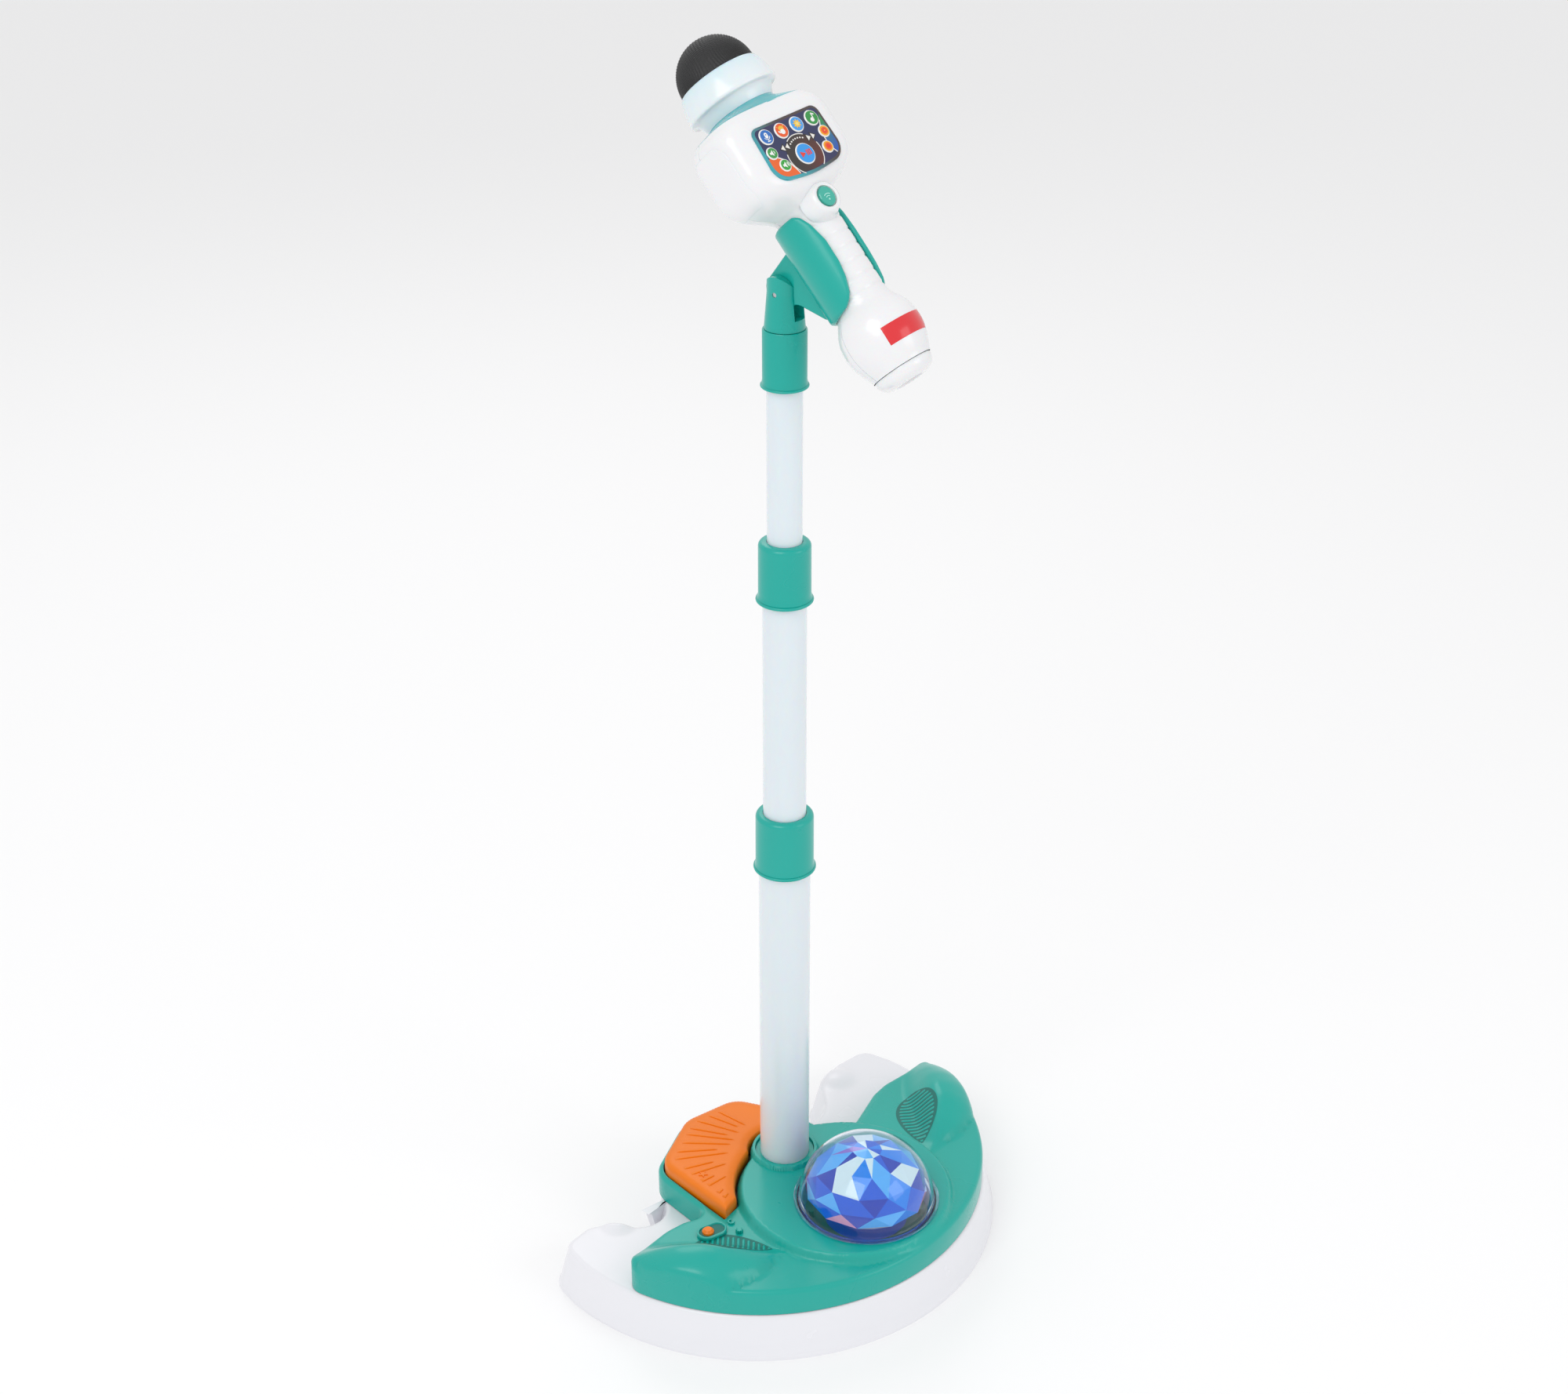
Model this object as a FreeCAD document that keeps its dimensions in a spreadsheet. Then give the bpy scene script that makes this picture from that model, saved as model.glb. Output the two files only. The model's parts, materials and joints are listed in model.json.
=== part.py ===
"""Toy stage microphone: a two-stage telescopic stand on a light-up base, with a clip-held microphone.

Millimetres, +Z up. The origin is where the axis of the pole meets the floor. The dome is on the -Y
side of the pole, the foot pedal on the +Y side, where the singer stands. Microphone pieces are made
upright in the microphone's own frame (Z along its axis, keypad facing -Y, X sideways) with its origin
beside the tilt pin, and are then tilted into the clip.
"""
import FreeCAD, Part
import math
import os
import Sketcher
from FreeCAD import Placement, Rotation, Vector

doc = FreeCAD.newDocument("stage_microphone")
sheet = doc.addObject("Spreadsheet::Sheet", "sizes")


class Length:
    """A number that remembers its spreadsheet expression, so that sums of sizes stay bound to it."""

    def __init__(self, value, text=None):
        self.value = float(value)
        self.text = text or repr(float(value))

    def __add__(self, other):
        other = as_length(other)
        return Length(self.value + other.value, f"({self.text} + {other.text})")

    def __sub__(self, other):
        other = as_length(other)
        return Length(self.value - other.value, f"({self.text} - {other.text})")

    def __mul__(self, factor):
        factor = as_length(factor)
        return Length(self.value * factor.value, f"({self.text} * {factor.text})")

    def __truediv__(self, divisor):
        return Length(self.value / divisor, f"({self.text} / {divisor})")

    def __rsub__(self, other):
        return as_length(other) - self

    def __neg__(self):
        return Length(-self.value, f"(0 - {self.text})")

    def __float__(self):
        return self.value

    __radd__ = __add__
    __rmul__ = __mul__


def as_length(number):
    return number if isinstance(number, Length) else Length(number)


class Sizes:
    """The driving dimensions: every one is a plain number in its own cell, under its own alias."""

    def __init__(self):
        self.row = 0

    def add(self, **values):
        for alias, value in values.items():
            self.row += 1
            sheet.set(f"A{self.row}", alias)
            sheet.set(f"B{self.row}", str(value))
            sheet.setAlias(f"B{self.row}", alias)
            setattr(self, alias, Length(value, f"sizes.{alias}"))
        doc.recompute()


d = Sizes()
PARTS = {}
HERE = Placement()


# ---------------------------------------------------------------- ways of making a piece

def keep(thing, label, place=HERE):
    """Name the finished piece and put it in its place."""
    thing.Label = label
    if not place.isIdentity():
        thing.Placement = place.multiply(thing.Placement)
    PARTS[label] = thing
    return thing


def turned(label, profile, place=HERE, kept=True):
    """A body turned about Z: profile is a closed outline of (radius, height) lengths."""
    body = doc.addObject("PartDesign::Body", label)
    sketch = body.newObject("Sketcher::SketchObject", label + "_profile")
    upright = [o for o in body.Origin.OriginFeatures if o.Role == "XZ_Plane"][0]
    sketch.AttachmentSupport = (upright, [""])
    sketch.MapMode = "FlatFace"
    corners = [Vector(float(radius), float(height), 0) for radius, height in profile]
    count = len(corners)
    for i in range(count):
        sketch.addGeometry(Part.LineSegment(corners[i], corners[(i + 1) % count]))
    for i in range(count):
        sketch.addConstraint(Sketcher.Constraint("Coincident", i, 2, (i + 1) % count, 1))
        for kind, length in zip(("DistanceX", "DistanceY"), profile[i]):
            rule = Sketcher.Constraint(kind, -1, 1, i, 1, float(length))
            index = sketch.addConstraint(rule)
            sketch.setExpression(f"Constraints[{index}]", as_length(length).text)
    turn = body.newObject("PartDesign::Revolution", label + "_turn")
    turn.Profile = sketch
    turn.ReferenceAxis = (sketch, ["V_Axis"])
    turn.Angle = 360.0
    body.Tip = turn
    return keep(body, label, place) if kept else body


def primitive(kind, name, at=(0, 0, 0), **lengths):
    """A Part primitive with its sizes and its position bound to the sheet."""
    thing = doc.addObject("Part::" + kind, name)
    for prop, length in lengths.items():
        thing.setExpression(prop, as_length(length).text)
    for axis, length in zip("xyz", at):
        thing.setExpression(f"Placement.Base.{axis}", as_length(length).text)
    return thing


def block(name, x, y, z, long, wide, high):
    """A box centred on x and y, standing on z."""
    return primitive("Box", name, (x - long / 2, y - wide / 2, z), Length=long, Width=wide, Height=high)


def rod(name, x, y, z, radius, high):
    return primitive("Cylinder", name, (x, y, z), Radius=radius, Height=high)


def joined(name, pieces):
    whole = doc.addObject("Part::MultiFuse", name)
    whole.Shapes = pieces
    return whole


def cut(name, base, tools):
    result = doc.addObject("Part::Cut", name)
    result.Base = base
    result.Tool = tools[0] if len(tools) == 1 else joined(name + "_tools", tools)
    return result


def group(name, pieces):
    """Separate solids that share one node, such as a set of screws."""
    compound = doc.addObject("Part::Compound", name)
    compound.Links = pieces
    return compound


def formed(name, shape):
    """A piece whose shape comes from Part's own functions."""
    feature = doc.addObject("Part::Feature", name)
    feature.Shape = shape
    return feature


def rounded_outline(corners, height, arc_through=None):
    """Wire at one height through corners (x, y, radius), each corner rounded by its radius. With
    arc_through, an arc through that point joins the last corner to the first one."""
    points = [Vector(float(x), float(y), float(height)) for x, y, _ in corners]
    count = len(points)
    starts, ends, edges = list(points), list(points), []
    arcs = {}
    for i, (_, _, radius) in enumerate(corners):
        if float(radius) <= 0:
            continue
        before = (points[i - 1] - points[i]).normalize()
        after = (points[(i + 1) % count] - points[i]).normalize()
        half = before.getAngle(after) / 2
        reach = float(radius) / math.tan(half)
        starts[i] = points[i] + before * reach
        ends[i] = points[i] + after * reach
        bisector = (before + after).normalize()
        middle = points[i] + bisector * (float(radius) / math.sin(half) - float(radius))
        arcs[i] = Part.Arc(starts[i], middle, ends[i]).toShape()
    for i in range(count):
        if i in arcs:
            edges.append(arcs[i])
        following = (i + 1) % count
        if following == 0 and arc_through is not None:
            through = Vector(float(arc_through[0]), float(arc_through[1]), float(height))
            edges.append(Part.Arc(ends[i], through, starts[0]).toShape())
        else:
            edges.append(Part.LineSegment(ends[i], starts[following]).toShape())
    return Part.Wire(Part.__sortEdges__(edges))


def grown(wire, by):
    """The same outline, set out (or in, where negative) by one distance."""
    return wire if abs(float(by)) < 1e-9 else wire.makeOffset2D(float(by), 0, False, False)


def lifted(wire, high):
    copy = wire.copy()
    copy.translate(Vector(0, 0, float(high)))
    return copy


def prism(wire, high):
    return Part.Face(wire).extrude(Vector(0, 0, float(high)))


def tapered(wire, high, inset):
    """Solid on an outline whose walls lean in by inset over the height."""
    return Part.makeLoft([wire, lifted(grown(wire, -inset), high)], True, True)


def squashed_ball(centre, half_sizes, turn_degrees):
    """Ellipsoid: a unit ball stretched to its half sizes, turned about Z and moved to its centre."""
    stretch = FreeCAD.Matrix()
    stretch.scale(*(float(half) for half in half_sizes))
    ball = Part.makeSphere(1.0).transformGeometry(stretch)
    spin = Rotation(Vector(0, 0, 1), turn_degrees)
    ball.Placement = Placement(Vector(*(float(c) for c in centre)), spin)
    return ball


# ---------------------------------------------------------------- base: outlines

d.add(
    tray_radius=167, tray_centre=25, tray_height=31, tray_lean=9, tray_wall=2.5,
    deck_radius=154, deck_centre=20.5, deck_gap=0.5, deck_high=18.5, deck_wall=2.5, deck_bevel=3,
    wing_back=4, tip_reach=150, disc_radius=74, disc_centre=-57, disc_rise=6,
    frame_left=-80, frame_lean=6, frame_edge=2, frame_back=78, frame_right=41,
)
d.deck_floor = d.tray_height + d.deck_gap
d.deck_top = d.deck_floor + d.deck_high
d.disc_top = d.deck_top + d.disc_rise

# Tray: arc through the front, then round both wing tips and back to the pedal bay.
tray_corners = [
    (-166, 40, 0), (-160, 68, 14), (-124, 71, 16), (-104, 46, 26), (d.frame_left - 2, 30, 8),
    (d.frame_left - 2, 54, 18), (-26, d.frame_back + 6, 24), (22, d.frame_back - 2, 22),
    (d.frame_right + 9, 32, 14), (76, 40, 26), (98, 66, 16), (126, 71, 16), (160, 68, 14), (166, 40, 0),
]
tray_outline = rounded_outline(tray_corners, 0, (0, d.tray_centre - d.tray_radius))

# Deck: the same idea on a smaller circle, with the pedal frame standing out at the back.
deck_corners = [
    (-d.tip_reach, -12, 0), (-d.tip_reach + 8, d.wing_back, 9), (-98, d.wing_back, 20),
    (d.frame_left, -4, 8), (d.frame_left + d.frame_lean, 55, 22), (-25, d.frame_back, 24),
    (20, d.frame_back - 8, 22),
    (d.frame_right, 30, 14), (44, 0, 8), (62, -10, 12), (96, d.wing_back - 1, 20),
    (d.tip_reach - 8, d.wing_back, 9), (d.tip_reach, -12, 0),
]
deck_outline = rounded_outline(deck_corners, d.deck_floor, (0, d.deck_centre - d.deck_radius))

# Pedal: inside the frame, with its inner edge following the round plateau of the deck.
pedal_left, pedal_right = d.frame_left + d.frame_edge, d.frame_right - 5
pedal_corners = [
    (pedal_left, -19, 0), (pedal_left + d.frame_lean, 53, 20), (-25, d.frame_back - d.frame_edge - 1, 22),
    (18, d.frame_back - 11, 20), (pedal_right, 28, 12), (pedal_right, -40, 0),
]


def plateau(radius, low, high):
    """Upright cylinder on the centre of the deck's round plateau."""
    at = Vector(0, float(d.disc_centre), float(low))
    return Part.makeCylinder(float(radius), float(high - low), at)


def pedal_block(shrink, low, high, clearance):
    """Block inside the pedal frame, less the plateau and the pole ring that it must clear."""
    corner_wire = rounded_outline(pedal_corners, low)
    body = prism(grown(corner_wire, -shrink), high - low)
    body = body.cut(plateau(d.disc_radius + clearance, low - 1, high + 1))
    ring = Part.makeCylinder(float(d.ring_radius + clearance), float(high - low + 2),
                             Vector(0, 0, float(low - 1)))
    return body.cut(ring)


# ---------------------------------------------------------------- pole: three tubes that telescope

d.add(
    slide_gap=0.3, fit_gap=0.1, pole_foot=8, ring_radius=23.5, ring_rise=3, lock_ring_rise=1,
    lower_radius=17, lower_wall=1.7, lower_top=322,
    lower_collar_grip=34, lower_collar_wall=2, lower_collar_lip=1.6, lower_collar_rise=7.5,
    middle_radius=14, middle_wall=1.6, middle_inside=107, middle_top=515,
    upper_collar_grip=34, upper_collar_wall=2.5, upper_collar_lip=1.7, upper_collar_rise=6,
    upper_radius=11, upper_wall=1.5, upper_inside=120, upper_top=651,
    guide_height=16, guide_foot=3,
    socket_grip=30, socket_wall=2.5, socket_lip=1.3, socket_rise=6, lip_height=6,
)
d.ring_top, d.lock_ring_top = d.disc_top + d.ring_rise, d.disc_top + d.lock_ring_rise
d.middle_base, d.upper_base = d.lower_top - d.middle_inside, d.middle_top - d.upper_inside
d.lower_collar_base = d.lower_top - d.lower_collar_grip
d.lower_collar_top = d.lower_top + d.lower_collar_rise
d.upper_collar_base = d.middle_top - d.upper_collar_grip
d.upper_collar_top = d.middle_top + d.upper_collar_rise
d.socket_base, d.socket_top = d.upper_top - d.socket_grip, d.upper_top + d.socket_rise


def tube(label, radius, wall, low, high):
    turned(label, [(radius - wall, low), (radius, low), (radius, high), (radius - wall, high)])


def collar(label, radius, wall, lip, base, seat, top, bore):
    """Collar pushed over the end of a tube: a lip at its foot, a rounded shoulder and a smaller bore
    above the seat that the tube's end stops against."""
    outside = radius + wall
    turned(label, [
        (radius, base), (outside + lip, base), (outside + lip, base + d.lip_height - 2),
        (outside, base + d.lip_height), (outside, top - 3), (outside - 2.5, top),
        (bore, top), (bore, seat), (radius, seat),
    ])


def guide(label, tube_radius, outside, base):
    """Sleeve on the foot of a sliding tube, which centres it in the tube outside it."""
    turned(label, [
        (tube_radius - 2, base - d.guide_foot), (outside, base - d.guide_foot),
        (outside, base + d.guide_height), (tube_radius, base + d.guide_height),
        (tube_radius, base), (tube_radius - 2, base),
    ])


tube("lower_tube", d.lower_radius, d.lower_wall, d.pole_foot, d.lower_top)
collar("lower_collar", d.lower_radius, d.lower_collar_wall, d.lower_collar_lip, d.lower_collar_base,
       d.lower_top, d.lower_collar_top, d.middle_radius + d.slide_gap)
tube("middle_tube", d.middle_radius, d.middle_wall, d.middle_base, d.middle_top)
collar("middle_collar", d.middle_radius, d.upper_collar_wall, d.upper_collar_lip, d.upper_collar_base,
       d.middle_top, d.upper_collar_top, d.upper_radius + d.slide_gap)
guide("middle_tube_guide", d.middle_radius, d.lower_radius - d.lower_wall - d.slide_gap, d.middle_base)
tube("upper_tube", d.upper_radius, d.upper_wall, d.upper_base, d.upper_top)
guide("upper_tube_guide", d.upper_radius, d.middle_radius - d.middle_wall - d.slide_gap, d.upper_base)

# Socket at the top of the mast, with a spigot that the fork turns on.
d.add(spigot_radius=6, spigot_height=7, fork_seat_gap=0.3)
socket_outside = d.upper_radius + d.socket_wall
turned("mast_socket", [
    (d.upper_radius, d.socket_base), (socket_outside + d.socket_lip, d.socket_base),
    (socket_outside + d.socket_lip, d.socket_base + d.lip_height - 2),
    (socket_outside, d.socket_base + d.lip_height), (socket_outside, d.socket_top),
    (d.spigot_radius, d.socket_top), (d.spigot_radius, d.socket_top + d.spigot_height),
    (0, d.socket_top + d.spigot_height), (0, d.upper_top), (d.upper_radius, d.upper_top),
])

# ---------------------------------------------------------------- base: tray, covers and works

tray = tapered(tray_outline, d.tray_height, d.tray_lean)
tray_hollow = tapered(lifted(grown(tray_outline, -d.tray_wall), -0.5), d.tray_height - d.tray_wall + 0.5,
                      d.tray_lean)
tray = tray.cut(tray_hollow)
# The deck sits over a large opening in the top of the tray; the pedal bay keeps its floor.
opening = prism(lifted(grown(deck_outline, -12), -8), 12)
d.add(bay_front=24, pole_socket_wall=2.4, socket_stand=8, socket_floor=3)
d.lock_ring_seat = d.tray_height + d.socket_stand
bay_floor = Part.makeBox(140, 100, 40, Vector(-100, float(d.bay_front), 0))
tray = tray.cut(opening.cut(bay_floor))
socket_radius = d.lower_radius + d.fit_gap
socket_base = d.pole_foot - d.socket_floor
pole_socket = Part.makeCylinder(float(socket_radius + d.pole_socket_wall),
                                float(d.lock_ring_seat - socket_base), Vector(0, 0, float(socket_base)))
pole_socket = pole_socket.cut(Part.makeCylinder(float(socket_radius), 60, Vector(0, 0, float(d.pole_foot))))
tray = tray.cut(Part.makeCylinder(float(socket_radius), 60, Vector(0, 0, float(d.pole_foot))))
bridge = Part.makeBox(36, 14, 3, Vector(-18, 14, float(d.tray_height - 3)))
bridge = bridge.cut(Part.makeCylinder(float(socket_radius), 60, Vector(0, 0, float(d.pole_foot))))
tray = tray.fuse([pole_socket, bridge])

# Screw bosses under the tray's top; the cover's screws go up into them.
d.add(cover_base=3, cover_thickness=2.2, screw_radius=1.6, screw_head_radius=3, screw_head_high=1.8,
      screw_length=12, screw_boss=4)
screw_places = [(-140, 34), (140, 34), (-119, -65), (119, -65), (0, -127), (18, 58), (-66, 44)]
cover_top = d.cover_base + d.cover_thickness
for x, y in screw_places:
    at = Vector(x, y, float(cover_top) + 0.2)
    screw_post = Part.makeCylinder(float(d.screw_boss), float(d.tray_height - cover_top) - 1.5, at)
    tray = tray.fuse(screw_post.cut(Part.makeCylinder(float(d.screw_radius), float(d.screw_length), at)))

# Hinge posts of the pedal stand on the bay floor.
d.add(hinge_x=-27, hinge_y=53, hinge_angle=4, hinge_rise=10, hinge_pin_radius=2, hinge_pin_length=56,
      hinge_post=9, hinge_gap=0.08)
d.hinge_height = d.tray_height + d.hinge_rise
hinge_place = Placement(Vector(float(d.hinge_x), float(d.hinge_y), 0),
                        Rotation(Vector(0, 0, 1), float(d.hinge_angle)))
posts = []
for side in (-1, 1):
    centre = side * float(d.hinge_pin_length) / 2 - side * float(d.hinge_post) / 2
    low = float(d.tray_height) - 1
    post = Part.makeBox(float(d.hinge_post), 8, float(d.hinge_height) + 4 - low,
                        Vector(centre - float(d.hinge_post) / 2, -4, low))
    hole = Part.makeCylinder(float(d.hinge_pin_radius), 100,
                             Vector(-50, 0, float(d.hinge_height)), Vector(1, 0, 0))
    post = post.cut(hole)
    post.Placement = hinge_place
    posts.append(post)
tray = tray.fuse(posts).removeSplitter()
keep(formed("tray_shape", tray), "base_tray")

hinge_pin = Part.makeCylinder(float(d.hinge_pin_radius), float(d.hinge_pin_length),
                              Vector(-float(d.hinge_pin_length) / 2, 0, float(d.hinge_height)),
                              Vector(1, 0, 0))
keep(formed("hinge_pin_shape", hinge_pin), "pedal_hinge_pin", hinge_place)

# Bottom cover: closes the tray from below, with the battery box standing up inside it.
d.add(cover_gap=0.4, box_x=-62, box_y=-66, box_wall=2, cell_radius=7.1, cell_length=49.5, cell_gap=0.6,
      spring_room=9, door_gap=0.3)
cell_pitch = d.cell_radius * 2 + d.cell_gap
box_long = d.cell_length + d.spring_room + d.box_wall * 2
box_wide = cell_pitch * 3 + d.cell_gap + d.box_wall * 2
cover_outline = lifted(grown(tray_outline, -(d.tray_wall + 4)), d.cover_base)
cover = prism(cover_outline, d.cover_thickness)
box_corner = Vector(float(d.box_x - box_long / 2), float(d.box_y - box_wide / 2), 0)


def box_block(shrink, low, high):
    return Part.makeBox(float(box_long - 2 * shrink), float(box_wide - 2 * shrink), float(high - low),
                        box_corner + Vector(float(shrink), float(shrink), float(low)))


box_top = cover_top + d.cell_radius * 2 + d.cell_gap * 2 + d.box_wall
cover = cover.fuse(box_block(as_length(0), d.cover_base, box_top))
cover = cover.cut(box_block(d.box_wall, as_length(0), box_top - d.box_wall))
cover = cover.cut(Part.makeCylinder(float(socket_radius + d.pole_socket_wall + d.cover_gap), 60))
door = box_block(d.box_wall + d.door_gap, d.cover_base, d.cover_base + d.cover_thickness)
keep(formed("door_shape", door), "battery_door")

cell_axis = cover_top + d.cell_radius + d.cell_gap
cells = []
for i in (-1, 0, 1):
    y = d.box_y + cell_pitch * i
    cell = rod(f"cell_{i + 2}", d.box_x - d.cell_length / 2, y, cell_axis, d.cell_radius, d.cell_length)
    cap = rod(f"cell_cap_{i + 2}", d.box_x + d.cell_length / 2, y, cell_axis, d.cell_radius * 0.38,
              as_length(1.2))
    for piece in (cell, cap):
        piece.Placement.Rotation = Rotation(Vector(0, 1, 0), 90)
    cells.append(joined(f"cell_whole_{i + 2}", [cell, cap]))
keep(group("cells", cells), "base_batteries")

# Five rubber pads: one under the foot of the pole, and four pressed up into sockets of the cover.
d.add(pad_radius=9, pad_grip=1)
pads = [rod("pad_middle", 0, 0, 0, d.pad_radius, socket_base)]
for i, (x, y) in enumerate([(56, -104), (-128, 18), (128, 18), (-20, 60)]):
    pads.append(rod(f"pad_{i}", x, y, 0, d.pad_radius, d.cover_base + d.pad_grip))
    socket = Part.makeCylinder(float(d.pad_radius + 2), float(d.cover_thickness + d.pad_grip),
                               Vector(x, y, float(d.cover_base)))
    recess = Part.makeCylinder(float(d.pad_radius), float(d.cover_base + d.pad_grip), Vector(x, y, 0))
    cover = cover.fuse(socket).cut(recess)
for x, y in screw_places:
    cover = cover.cut(Part.makeCylinder(float(d.screw_radius), 40, Vector(x, y, 0)))
keep(formed("cover_shape", cover.removeSplitter()), "base_bottom_cover")
keep(group("pads", pads), "rubber_feet")

# ---------------------------------------------------------------- base: teal deck

d.add(deck_hole_gap=0.4, dome_x=0, dome_y=-76, dome_radius=46, dome_ring_wide=3.5,
      lobe_x=116, lobe_y=-40, lobe_long=46, lobe_wide=23, lobe_high=21, lobe_turn=45)
d.dome_ring_radius = d.dome_radius + d.dome_ring_wide
deck_body = prism(deck_outline, d.deck_top - d.deck_floor - d.deck_bevel)
bevel_foot = lifted(deck_outline, d.deck_top - d.deck_floor - d.deck_bevel)
deck = deck_body.fuse(tapered(bevel_foot, d.deck_bevel, d.deck_bevel * 0.8))
disc = plateau(d.disc_radius, d.deck_top - 8, d.disc_top)
disc = disc.makeFillet(2.5, [e for e in disc.Edges if e.BoundBox.ZMin > float(d.disc_top) - 0.01])
deck = deck.fuse(disc)
ring_shoulder = Part.makeCylinder(float(d.ring_radius), float(d.ring_top - d.deck_top + 8),
                                  Vector(0, 0, float(d.deck_top - 8)))
deck = deck.fuse(ring_shoulder)
lobes, lobe_hollows = [], []
for side in (-1, 1):
    centre = (d.lobe_x * side, d.lobe_y, d.deck_top - 4)
    turn = float(d.lobe_turn) * side
    lobe = squashed_ball(centre, (d.lobe_long, d.lobe_wide, d.lobe_high), turn)
    lobes.append(lobe.cut(Part.makeBox(500, 500, 60, Vector(-250, -250, float(d.deck_top) - 68))))
    lobe_hollows.append(squashed_ball(centre, (d.lobe_long - d.deck_wall, d.lobe_wide - d.deck_wall,
                                               d.lobe_high - d.deck_wall), turn))
deck = deck.fuse(lobes)
low_inside = lifted(grown(deck_outline, -d.deck_wall), -0.5)
inside = prism(low_inside, d.deck_top - d.deck_wall - d.deck_floor + 0.5)
inside = inside.fuse(plateau(d.disc_radius - d.deck_wall, d.deck_floor, d.disc_top - d.deck_wall))
lobe_clip = prism(lifted(grown(deck_outline, -d.deck_wall), -0.5), 60)
inside = inside.fuse([hollow.common(lobe_clip) for hollow in lobe_hollows])
keep_walls = pedal_block(as_length(-3), d.deck_floor - 2, d.deck_top + 4, as_length(-3))
deck = deck.cut(inside.cut(keep_walls))
deck = deck.cut(pedal_block(as_length(0), d.deck_floor - 3, d.deck_top + 20, as_length(0)))
lock_bore = d.lower_radius + 3.2
deck = deck.cut(Part.makeCylinder(float(lock_bore + d.slide_gap), 80, Vector(0, 0, 20)))
dome_at = Vector(float(d.dome_x), float(d.dome_y), 0)
deck = deck.cut(Part.makeCylinder(float(d.dome_radius + d.deck_hole_gap), 80, dome_at))

# Slot of the power switch, on the flat of the left wing.
d.add(switch_x=-93, switch_y=-20, switch_turn=-15, slot_long=17, slot_wide=9, rim_width=1.8, rim_high=1.2,
      knob_radius=4, knob_travel=6, knob_high=5)
switch_place = Placement(Vector(float(d.switch_x), float(d.switch_y), 0),
                         Rotation(Vector(0, 0, 1), float(d.switch_turn)))


def slot_prism(grow, low, high):
    """Upright prism on a rounded slot that runs along the switch's travel."""
    radius = float(d.slot_wide / 2 + grow)
    straight = float(d.slot_long - d.slot_wide) / 2
    z = float(low)
    wire = Part.Wire([
        Part.LineSegment(Vector(-straight, -radius, z), Vector(straight, -radius, z)).toShape(),
        Part.Arc(Vector(straight, -radius, z), Vector(straight + radius, 0, z),
                 Vector(straight, radius, z)).toShape(),
        Part.LineSegment(Vector(straight, radius, z), Vector(-straight, radius, z)).toShape(),
        Part.Arc(Vector(-straight, radius, z), Vector(-straight - radius, 0, z),
                 Vector(-straight, -radius, z)).toShape(),
    ])
    solid = prism(wire, high - low)
    solid.Placement = switch_place
    return solid


deck = deck.fuse(slot_prism(d.rim_width, d.deck_top - 1, d.deck_top + d.rim_high))
deck = deck.cut(slot_prism(as_length(0), d.deck_floor - 1, d.deck_top + 10))
deck = deck.removeSplitter()
keep(formed("deck_shape", deck), "base_deck")

# Lock ring that grips the foot of the pole inside the deck's collar.
turned("pole_lock_ring", [
    (d.lower_radius + d.fit_gap, d.lock_ring_seat), (lock_bore, d.lock_ring_seat),
    (lock_bore, d.lock_ring_top), (d.lower_radius + d.fit_gap, d.lock_ring_top),
])

# ---------------------------------------------------------------- base: light projector

d.add(dome_height=44, dome_wall=2, dome_flange=2, tub_depth=18, tub_wall=1.6, crystal_radius=30,
      rotor_drop=1.5, rotor_axle=2.5, gear_radius=12, gear_thick=3, pinion_radius=4,
      motor_radius=9, motor_high=14, motor_shaft=1)
d.rotor_base = d.disc_top - d.rotor_drop
dome_place = Placement(dome_at, Rotation())
flange_low = d.disc_top
outer = [(d.dome_radius * math.cos(math.radians(a)), flange_low + d.dome_flange
          + d.dome_height * math.sin(math.radians(a))) for a in (8, 22, 38, 54, 70, 82)]
inner = [((d.dome_radius - d.dome_wall) * math.cos(math.radians(a)), flange_low + d.dome_flange
          + (d.dome_height - d.dome_wall) * math.sin(math.radians(a))) for a in (82, 70, 54, 38, 22, 8)]
turned("dome_cover", [
    (d.dome_radius - d.dome_wall, flange_low), (d.dome_ring_radius, flange_low),
    (d.dome_ring_radius, flange_low + d.dome_flange), (d.dome_radius, flange_low + d.dome_flange),
    *outer, (0, flange_low + d.dome_flange + d.dome_height),
    (0, flange_low + d.dome_flange + d.dome_height - d.dome_wall), *inner,
], dome_place)

# Reflector tub that closes the hole below the dome; the rotor's axle turns in its floor.
tub_top = flange_low - 0.2
tub_floor = tub_top - d.tub_depth
tub_outside = d.dome_radius - 0.4
turned("projector_tub", [
    (d.rotor_axle + 0.08, tub_floor), (tub_outside, tub_floor), (tub_outside, tub_top),
    (tub_outside - d.tub_wall, tub_top), (tub_outside - d.tub_wall, tub_floor + d.tub_wall),
    (d.rotor_axle + 0.08, tub_floor + d.tub_wall),
], dome_place)

# Rotor: faceted crystal on a short axle, driven by the gear below the tub's floor.
crystal_top = flange_low + d.dome_flange + d.dome_height - d.dome_wall - 4
facets = 10
layers = [(0.80, 0.0), (1.0, 0.18), (0.92, 0.45), (0.62, 0.78), (0.22, 1.0)]


def crystal_ring(share, rise):
    radius = float(d.crystal_radius) * share
    z = float(d.rotor_base) + (float(crystal_top) - float(d.rotor_base)) * rise
    turns = [2 * math.pi * i / facets for i in range(facets)]
    corners = [Vector(radius * math.cos(turn), radius * math.sin(turn), z) for turn in turns]
    return Part.makePolygon(corners + corners[:1])


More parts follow.
